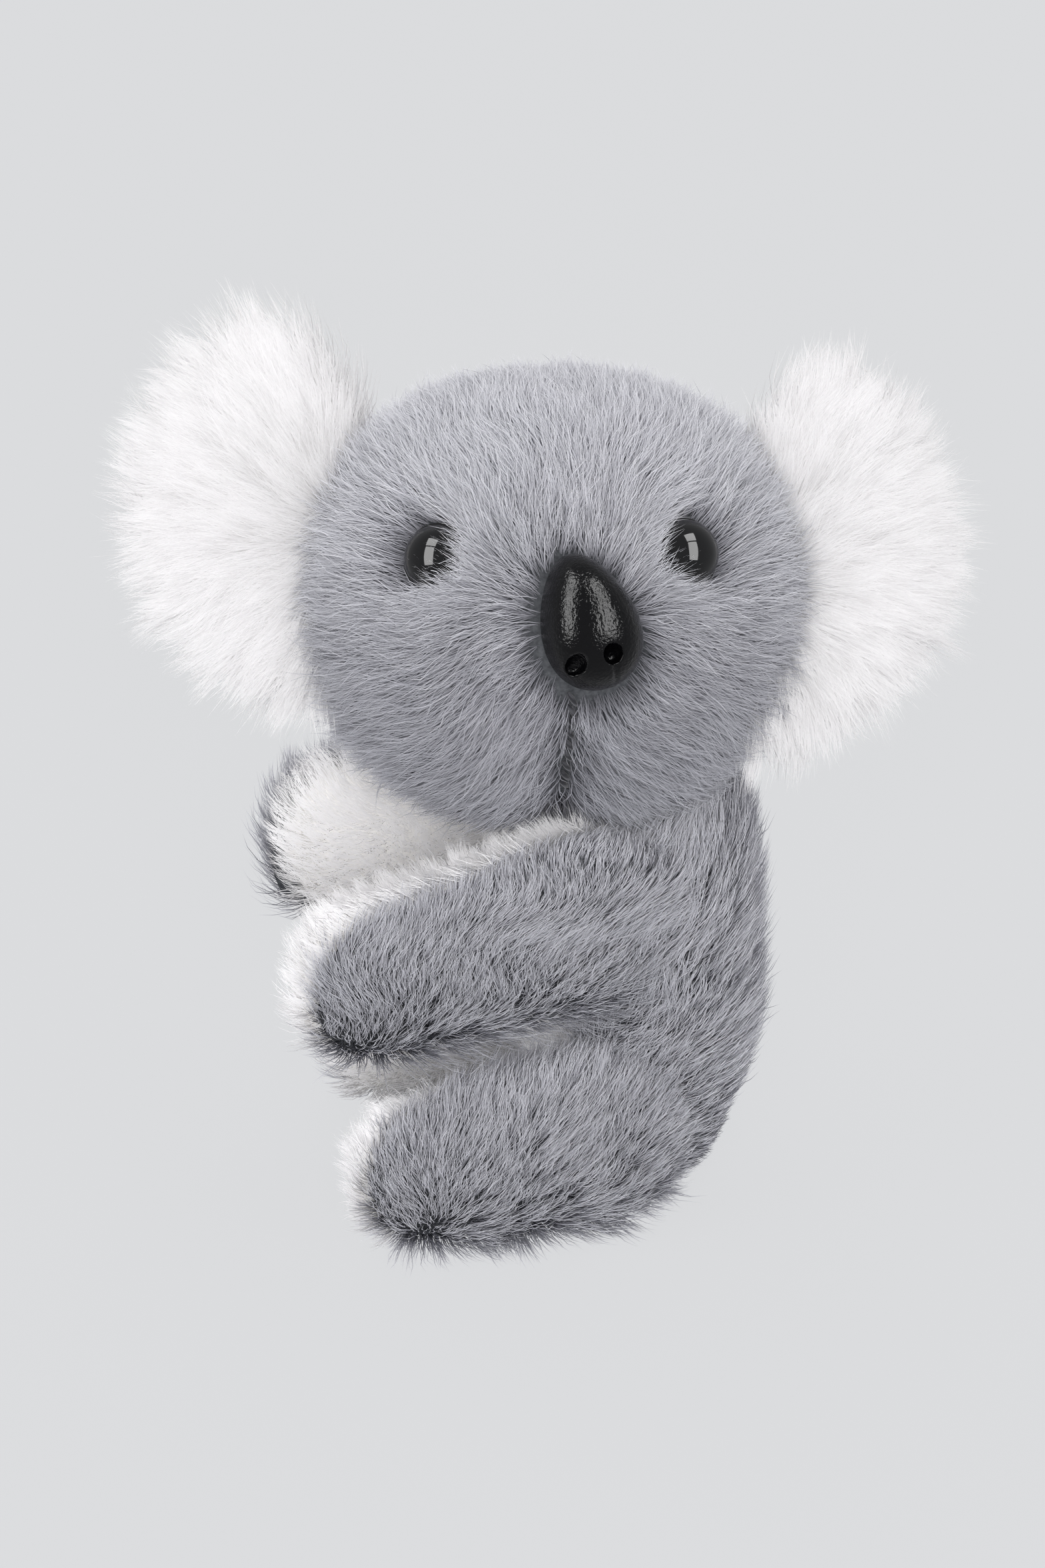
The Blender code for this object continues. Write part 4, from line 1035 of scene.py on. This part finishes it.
def make_eyes(finish):
    """Polished domes, each with the thin rim of its moulding, on their stems."""
    steps = 24
    outer = EYE_DIAMETER / 2.0
    radius = outer - EYE_RIM
    for name in SIDES:
        bm = bmesh.new()
        profile = [(0.0, 0.0), (outer, 0.0), (outer, EYE_RIM * 0.7), (outer - EYE_RIM * 0.3, EYE_RIM)]
        for step in range(steps + 1):
            angle = math.pi / 2.0 * step / steps
            profile.append((radius * math.cos(angle), EYE_RIM + (EYE_DOME - EYE_RIM) * math.sin(angle)))
        verts = [bm.verts.new((x, 0.0, z)) for x, z in profile]
        edges = [bm.edges.new(pair) for pair in zip(verts, verts[1:])]
        bmesh.ops.spin(
            bm, geom=verts + edges, cent=(0.0, 0.0, 0.0), axis=(0.0, 0.0, 1.0), angle=math.tau,
            steps=72, use_merge=True,
        )
        bmesh.ops.remove_doubles(bm, verts=bm.verts, dist=ONE_PLACE)
        add_stem(bm, EYE_STEM_DIAMETER)
        bmesh.ops.transform(bm, matrix=eye_matrix(name), verts=bm.verts)
        eye = new_piece(f"{name}_eye_dome", bm, finish)
        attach(eye, "head")
        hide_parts(f"{name}_eye")


def make_mouth_stitches(finish):
    """The thread that draws the muzzle in: slanting stitches down in the pile, from the nose to the chin."""
    count = 9
    bm = bmesh.new()
    for step in range(count):
        drop = MOUTH_TOP + (MOUTH_BOTTOM - MOUTH_TOP) * (step + 0.5) / count
        place, normal = on_head(0.0, -drop, BED - STITCH_WIRE)
        slant = Matrix.Rotation(math.radians(STITCH_SLANT), 4, "Z")
        size = Matrix.Diagonal((STITCH_WIRE / 2.0, STITCH_LENGTH / 2.0, STITCH_WIRE / 2.0, 1.0))
        matrix = HEAD @ Matrix.Translation(place) @ facing(normal) @ slant @ size
        bmesh.ops.create_uvsphere(bm, u_segments=16, v_segments=12, radius=1.0, matrix=matrix)
    stitches = new_piece("mouth_stitches", bm, finish)
    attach(stitches, "head")
    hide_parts("mouth_thread")


def make_nose(finish):
    """A satin egg with two round nostrils, each slit down to the lower edge."""
    bm = bmesh.new()
    bmesh.ops.create_uvsphere(bm, u_segments=200, v_segments=140, radius=1.0)
    cut_off(bm, (0.0, 0.0, -NOSE_SKIRT_SHARE), (0.0, 0.0, -1.0))
    for vert in bm.verts:
        x, y, z = vert.co
        wide = NOSE_WIDTH / 2.0 * (NOSE_WIDTH_SHARE - NOSE_TAPER_SHARE * y)
        across = math.hypot(x, z)
        if across > 0.0:
            turn = abs(x / across)
            z = math.copysign(across * (1.0 - turn**NOSE_ROUNDNESS) ** (1.0 / NOSE_ROUNDNESS), z)
        place = Vector((x * wide, y * NOSE_HEIGHT / 2.0, z * NOSE_DEPTH))
        if z > 0.0:
            pressed = 0.0
            for side in SIDES.values():
                across = place.x - NOSTRIL_OFFSET - side * NOSTRIL_SPREAD / 2.0
                off = math.hypot(across, place.y + NOSTRIL_DROP) / NOSTRIL_RADIUS
                pressed = max(pressed, NOSTRIL_DEPTH * max(0.0, 1.0 - off**3))
                if place.y < -NOSTRIL_DROP:
                    slit = math.exp(-((across / NOSTRIL_SLIT) ** 2))
                    pressed = max(pressed, NOSTRIL_DEPTH * NOSTRIL_SLIT_SHARE * slit)
            place.z = max(0.0, place.z - pressed)
        vert.co = place
    back = max(bm.faces, key=lambda face: face.calc_area())
    grown = bmesh.ops.extrude_face_region(bm, geom=[back])["geom"]
    for vert in grown:
        if isinstance(vert, bmesh.types.BMVert):
            vert.co = (vert.co.x * NOSE_BACK_SHARE, vert.co.y * NOSE_BACK_SHARE, vert.co.z - NOSE_BACK_DEPTH)
    add_stem(bm, NOSE_STEM_DIAMETER)
    bmesh.ops.transform(bm, matrix=nose_matrix(), verts=bm.verts)
    nose = new_piece("nose_egg", bm, finish)
    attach(nose, "head")
    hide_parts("nose")


def dress_head(finishes):
    """The head's stuffed skin, and its pile in four pieces: face and nape on each side."""
    skin = new_piece("head_plush", head_bm(BED), finishes["shaded_grey_backing"])
    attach(skin, "head")
    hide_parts("head_skin")
    nose = np.array(on_head(NOSE_OFFSET, -NOSE_DROP)[0])
    half_eye = np.array((EYE_DIAMETER / 2.0, EYE_DIAMETER / 2.0, EYE_DOME)) + PILE_CLEARANCE
    half_width = NOSE_WIDTH * NOSE_WIDTH_SHARE / 2.0
    half_nose = np.array((half_width, NOSE_HEIGHT / 2.0, NOSE_DEPTH)) + PILE_CLEARANCE
    eyes = [(eye_matrix(name), half_eye, 0.0) for name in SIDES]
    mouldings = [*eyes, (nose_matrix(), half_nose, NOSE_TAPER_SHARE / NOSE_WIDTH_SHARE)]

    def comb(points):
        """Away from the nose, upright over the brow, and outwards from the seam below the nose."""
        local = to_head(points)
        away = unit(local - nose)
        brow = np.clip(away[:, 2], 0.0, 1.0)
        away[:, 0] *= 1.0 - BROW_STRAIGHTENING * brow
        drop = (nose[2] - local[:, 2]) / (NOSE_HEIGHT / 2.0)
        below = np.clip(drop - PARTING_START, 0.0, 1.0) * (local[:, 1] < 0.0)
        under = beside_seam(points, SEAM_SPREAD)
        parting = np.sign(local[:, 0]) * below * (1.0 - SEAM_SLACKENING * under)
        away[:, 0] = away[:, 0] * (1.0 - below) + parting
        away[:, 2] = away[:, 2] * (1.0 - PARTING_LEVELLING * below) - PARTING_DROP * under
        return to_world(HEAD, away, True)

    def bare(points):
        """True where the eyes and the nose cover the skin."""
        covered = np.zeros(len(points), bool)
        for moulding in mouldings:
            local, off = from_middle(points, moulding)
            covered |= (off < BARE_REACH) & (np.abs(local[:, 2]) < moulding[1][2] * 2.0)
        return covered

    def beside_eyes(points):
        """From 0 to 1 where the pile is thick beside an eye and lies over its inner edge."""
        thick = np.zeros(len(points))
        for eye in eyes:
            _, off = from_middle(points, eye)
            middle = to_head(np.array([eye[0].translation]))
            past = ((to_head(points) - middle) * unit(middle - nose)).sum(axis=1)
            near = np.exp(-(((off - FRINGE_PLACE) / FRINGE_SPREAD) ** 2))
            thick = np.maximum(thick, near * np.clip(-past / (EYE_DIAMETER / 2.0), 0.0, 1.0))
        return thick

    def beside_seam(points, spread):
        """From 0 to 1 on the seam that draws the muzzle in."""
        local = to_head(points)
        below = (local[:, 2] < -MOUTH_TOP) & (local[:, 2] > -MOUTH_BOTTOM - SEAM_RUNOUT)
        return np.exp(-((local[:, 0] / spread) ** 2)) * (below & (local[:, 1] < 0.0))

    def length_at(points):
        off = np.linalg.norm(to_head(points) - nose, axis=1)
        crown = np.clip(to_head(points)[:, 2] / (HEAD_SIZE.z / 2.0), 0.0, 1.0)
        trim = (1.0 - SEAM_TRIM * beside_seam(points, SEAM_TRIM_SPREAD)) * (1.0 - CROWN_TRIM * crown**2)
        return np.clip(FACE_LENGTH + off / FACE_GROWTH, FACE_LEAST, FACE_MOST) * trim

    def tone_at(points):
        local = to_head(points)
        crown = np.clip(local[:, 2] / (HEAD_SIZE.z / 2.0), -1.0, 1.0)
        # Darker along the seam below the nose: painted shade in the parting
        seam = SEAM_SHADE * beside_seam(points, SEAM_SHADE_SPREAD)
        # Paler towards the crown and darker towards the chin: partly the pile's own tone, partly painted
        # light on top and painted shade under the chin
        return HEAD_TONE + CROWN_TONE_AND_LIGHT * np.maximum(crown, 0.0) + CHIN_TONE_AND_SHADE * np.minimum(crown, 0.0) - seam

    for side_name, side in SIDES.items():
        for half, front in (("face", True), ("nape", False)):

            def wanted(points, normals):
                local = to_head(points)
                beside = np.clip(0.5 + local[:, 0] * side / PILE_OVERLAP, 0.0, 1.0)
                before = np.clip(0.5 + (NAPE_START - local[:, 1]) / PILE_OVERLAP, 0.0, 1.0)
                parted = 1.0 - SEAM_THINNING * beside_seam(points, SEAM_SPREAD)
                thick = 1.0 + FRINGE_THICKNESS * beside_eyes(points)
                return beside * (before if front else 1.0 - before) * parted * thick * ~bare(points)

            seed = 11 + int(side) + (4 if front else 0)
            strands = pile(
                f"{side_name}_{half}_pile", skin, finishes["grey_pile"], seed, comb, wanted,
                length_at=length_at, tone_at=tone_at, obstacles=mouldings if front else (), **PILES["head"],
            )
            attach(strands, "head")


def dress_ears(finishes):
    """Both ears, each a long white pile in front and a grey one behind, on a pad of two halves."""
    for name, side in SIDES.items():
        matrix = ear_matrix(name)
        back = np.array(matrix.inverted())
        wide, tall = EAR_FAN_SHARES
        fan = np.array((-side * EAR_SIZE.x * wide, 0.0, -EAR_SIZE.y * tall))
        for half, backing, finish, slot, seed in (
            ("front", "white_backing", "shaded_ear_pile", "ear_plush", 21),
            ("back", "shaded_grey_backing", "grey_pile", "grey_plush", 22),
        ):
            skin = new_piece(f"{name}_ear_{half}_plush", ear_bm(name, half, THIN_BED), finishes[backing])
            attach(skin, "head")
            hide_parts(f"{name}_ear_{half}")

            def comb(points):
                """Fanning out from the root."""
                return to_world(matrix, unit(to_world(back, points) - fan), True)

            def wanted(points, normals):
                """All over, but not on the flat where the halves meet."""
                deep = to_world(back, normals, True)[:, 1]
                return (deep < -FLAT if half == "front" else deep > FLAT).astype(float)

            strands = pile(
                f"{name}_ear_{half}_pile", skin, finishes[finish], seed + int(side), comb, wanted,
                **PILES[f"ear_{half}"],
            )
            strands.visible_shadow = half == "back"
            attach(strands, "head")


def share_past(values, start):
    """0 up to start, and from there evenly up to 1 where values are 1."""
    return np.clip((values - start) / (1.0 - start), 0.0, 1.0)


def inside_limb(points, margin=0.0, tip_bed=0.0):
    """True for points inside an arm or a leg that stops short of its tip by tip_bed."""
    found = np.zeros(len(points), bool)
    for limb, (reach, height, level) in LIMBS.items():
        table = np.array(LIMB_SHARES[limb])
        way = (LIMB_ROOT_Y - points[:, 1]) / (reach - tip_bed + LIMB_ROOT_Y)
        thick = np.interp(way, table[:, 0], table[:, 1]) * LIMB_THICKNESS / 2.0 - margin
        tall = np.interp(way, table[:, 0], table[:, 2]) * height / 2.0 - margin
        rise = level + height * np.interp(way, table[:, 0], table[:, 3])
        across = np.abs(np.abs(points[:, 0]) - LIMB_SPREAD) / np.maximum(thick, MM / 10.0)
        up = np.abs(points[:, 2] - rise) / np.maximum(tall, MM / 10.0)
        off = across**LIMB_SQUARENESS + up**LIMB_SQUARENESS
        found |= (off < 1.0) & (way > 0.0) & (way < 1.0)
    return found


def inside_body(points, margin=0.0):
    """True for points inside the body."""
    table = np.array(BODY_SHARES)
    rise = points[:, 2] / BODY_HEIGHT
    wide = np.interp(rise, table[:, 0], table[:, 1]) * BODY_WIDTH / 2.0 - margin
    deep = np.interp(rise, table[:, 0], table[:, 2]) * BODY_DEPTH / 2.0 - margin
    across, back = (np.abs(points[:, axis]) / np.maximum(size, MM) for axis, size in ((0, wide), (1, deep)))
    off = across**BODY_SQUARENESS + back**BODY_SQUARENESS
    return (off < 1.0) & (rise > 0.0) & (rise < 1.0)


def belly(points):
    """True for points on the front of the body that are white."""
    return (np.abs(points[:, 0]) < BELLY_WIDTH / 2.0) & (points[:, 1] < 0.0) & (points[:, 2] > BELLY_FOOT)


def dress_body(finishes):
    """The body's stuffed skin, with the grey pile of sides and back and the white one of the belly."""
    skin = new_piece("body_plush", body_bm(BED), finishes["shaded_grey_backing"])
    skin.data.materials.append(finishes["white_backing"])
    for face in skin.data.polygons:
        face.material_index = int(belly(np.array([face.center]))[0])
    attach(skin, "torso")
    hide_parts("body_skin", "belly_panel")

    def comb(points):
        """Up and back, and outwards near the floor."""
        low = np.clip(1.0 - points[:, 2] / SPLAY_HEIGHT, 0.0, 1.0)
        way = unit(points * np.array((1.0, 1.0, 0.0))) * (BODY_SPLAY + low)[:, None]
        way[:, 2] += 1.0 - FLOOR_DIP * low
        way[:, 1] += BODY_BACKWARD
        return way

    def grey(points, normals):
        return (~belly(points) & ~inside_limb(points, THIN_BED)).astype(float)

    def white(points, normals):
        return belly(points).astype(float)

    def length_at(points):
        """Shorter at the foot of the back, where the toy is sat on."""
        foot = np.clip((FOOT_TOP - points[:, 2]) / FOOT_BLEND, 0.0, 1.0) * (points[:, 1] > 0.0)
        return 1.0 - FOOT_TRIM * foot

    def tone_at(points):
        """Paler towards the back."""
        return BODY_TONE + BACK_TONE * np.clip(points[:, 1] / BODY_DEPTH, 0.0, 0.5)

    for part, seed, finish, slot, wanted in (
        ("body", 31, "grey_pile", "grey_plush", grey),
        ("belly", 32, "white_pile", "white_plush", white),
    ):
        strands = pile(
            f"{part}_pile", skin, finishes[finish], seed, comb, wanted,
            length_at=length_at, tone_at=tone_at, **PILES[part],
        )
        strands.visible_shadow = part == "body"
        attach(strands, "torso")


def dress_limb(name, side, limb, finishes):
    """An arm or a leg, cut along its seam into the grey outer half and the white lining."""
    seam = LIMB_SPREAD - LIMB_THICKNESS / 2.0 + LINING_THICKNESS + SEAM_COVER
    reach, height, level = LIMBS[limb]
    along, above, spread = WHORL_SHARES[limb]
    whorl = np.array((side * seam, -reach * along, level + height * above))
    tip_beds = TIP_BEDS[f"{name}_{limb}"]
    shift, root_lean, top_lean = SEAM_SHIFTS[f"{name}_{limb}"]
    seam_point = Vector((side * (seam + shift), -reach, level - height / 2.0))
    seam_normal = Vector((side, -root_lean, -top_lean)).normalized()
    for part, backing, finish, slot, node, seed in (
        ("outer", "shaded_grey_backing", "grey_pile", "grey_plush", f"{name}_{limb}", 41),
        ("lining", "white_backing", "white_pile", "white_plush", f"{name}_{limb}_lining", 42),
    ):
        outer = part == "outer"
        bm = limb_bm(side, limb, THIN_BED, tip_beds[part])
        cut_off(bm, seam_point, seam_normal, keep_beyond=outer)
        skin = new_piece(f"{node}_plush", bm, finishes[backing])

        def comb(points):
            """Up, forward on the linings, back towards the body at the root, and round the whorl."""
            way = np.zeros_like(points)
            way[:, 2] = 1.0
            if not outer:
                way[:, 1] = -LINING_FORWARD
                return way
            way[:, 1] = ROOT_BACKWARD - TIP_FORWARD * np.clip(-points[:, 1] / reach, 0.0, 1.0)
            way[:, 0] = side * FLOOR_SPLAY * np.clip(1.0 - points[:, 2] / FLOOR_SPLAY_HEIGHT, 0.0, 1.0)
            away = points - whorl
            below = np.clip(-away[:, 2] / BELOW_WHORL_REACH, 0.0, 1.0)
            near = np.exp(-((np.linalg.norm(away[:, 1:], axis=1) / spread) ** 2))
            weight = np.maximum(WHORL_SHARE * near, BELOW_WHORL_SHARE * below)[:, None]
            weight = weight * (ARM_WHORL_SHARE if limb == "arm" else 1.0)
            return way * (1.0 - weight) + unit(away) * weight

        def wanted(points, normals):
            """All over outside the body, but not where the two halves lie against each other."""
            off = np.abs((points - np.array(seam_point)) @ np.array(seam_normal))
            cut = (off < CUT_REACH) & (np.abs(normals @ np.array(seam_normal)) > 1.0 - FLAT)
            hidden = cut & (outer | inside_limb(points, THIN_BED, tip_beds["outer"]))
            shown = ~hidden & (points[:, 1] < LIMB_ROOT_Y - LIMB_BARE_ROOT)
            return (shown & ~inside_body(points, BED if outer else 0.0)).astype(float)

        def length_at(points):
            """On the grey, shorter along an arm's top seam and under its tip, and at a leg's tip."""
            if not outer:
                return np.ones(len(points))
            rise = (points[:, 2] - level) / (height / 2.0)
            top, tip = share_past(rise, TOP_START), share_past(-points[:, 1] / reach, TIP_START)
            under = tip * np.clip(-rise, 0.0, 1.0)
            return 1.0 - TOP_TRIM * top - UNDER_TRIM * under if limb == "arm" else 1.0 - TIP_TRIM * tip

        def tone_at(points):
            """Darker round an arm's whorl, painted shade where the pile parts, and paler under a leg,
            painted light against the shade under it.
            """
            if limb == "leg":
                return LIMB_TONE + UNDER_PAINTED_LIGHT * np.clip(1.0 - points[:, 2] / UNDER_HEIGHT, 0.0, 1.0)
            off = np.linalg.norm(points - whorl, axis=1)
            return LIMB_TONE - WHORL_SHADE * np.exp(-((off / WHORL_SHADE_SPREAD) ** 2))

        seed += int(side) * (1 if limb == "arm" else 3)
        strands = pile(
            f"{node}_pile", skin, finishes[finish], seed, comb, wanted,
            length_at=length_at, tone_at=tone_at, **PILES[f"limb_{part}"],
        )
        strands.visible_shadow = skin.visible_shadow = outer
        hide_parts(node)
        for piece in (skin, strands):
            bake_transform(piece)


def main():
    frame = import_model()
    bpy.context.scene.view_settings.view_transform = "Standard"
    finishes = {
        "grey_pile": strand_material("grey_pile", GREY_DARK, GREY_LIGHT),
        "white_pile": strand_material("white_pile", WHITE_DARK, WHITE_LIGHT),
        "shaded_ear_pile": strand_material("shaded_ear_pile", EAR_DARK, EAR_LIGHT),
        # The grey backing is as dark as the grey pile's roots: painted shade in the gaps between the tufts
        "shaded_grey_backing": backing_material("shaded_grey_backing", (0.06, 0.063, 0.07), (0.12, 0.125, 0.135)),
        "white_backing": backing_material("white_backing", (0.90, 0.88, 0.86), (0.96, 0.95, 0.94)),
        "eye": moulded_material("eye_moulding", BLACK, 0.05, 0.01, 2.0 * MM, 0.002 * MM, 0.3),
        "nose": moulded_material("nose_moulding", BLACK, 0.11, 0.03, 0.42 * MM, 0.1 * MM, 0.15),
        "lever": moulded_material("lever_moulding", (0.62, 0.61, 0.58), 0.45, 0.05, 0.8 * MM, 0.01 * MM),
        "fibre": backing_material("loose_fibre", (0.78, 0.77, 0.75), (0.92, 0.92, 0.90), 2.0 * MM),
        "wire": wire_material("spring_wire"),
        "dark_thread": thread_material("dark_thread", (0.02, 0.02, 0.025), (0.07, 0.07, 0.08)),
        "grey_thread": thread_material("grey_thread", (0.16, 0.165, 0.18), (0.34, 0.35, 0.37)),
    }
    kept = {
        "lever": (
            "left_clip_lever", "right_clip_lever", "left_eye_washer", "right_eye_washer", "nose_washer",
        ),
        "fibre": ("body_stuffing", "head_stuffing"),
        "wire": ("hinge_pin", "spring_coil", "left_spring_leg", "right_spring_leg"),
        "grey_thread": ("neck_thread",),
    }
    for finish, nodes in kept.items():
        for node in nodes:
            for place in frame["nodes"][node].material_slots:
                place.material = finishes[finish]
    make_eyes(finishes["eye"])
    make_nose(finishes["nose"])
    make_mouth_stitches(finishes["dark_thread"])
    dress_head(finishes)
    dress_ears(finishes)
    dress_body(finishes)
    for name, side in SIDES.items():
        for limb in LIMBS:
            dress_limb(name, side, limb, finishes)
    make_floor()
    make_world()
    make_lights()
    make_camera()


main()
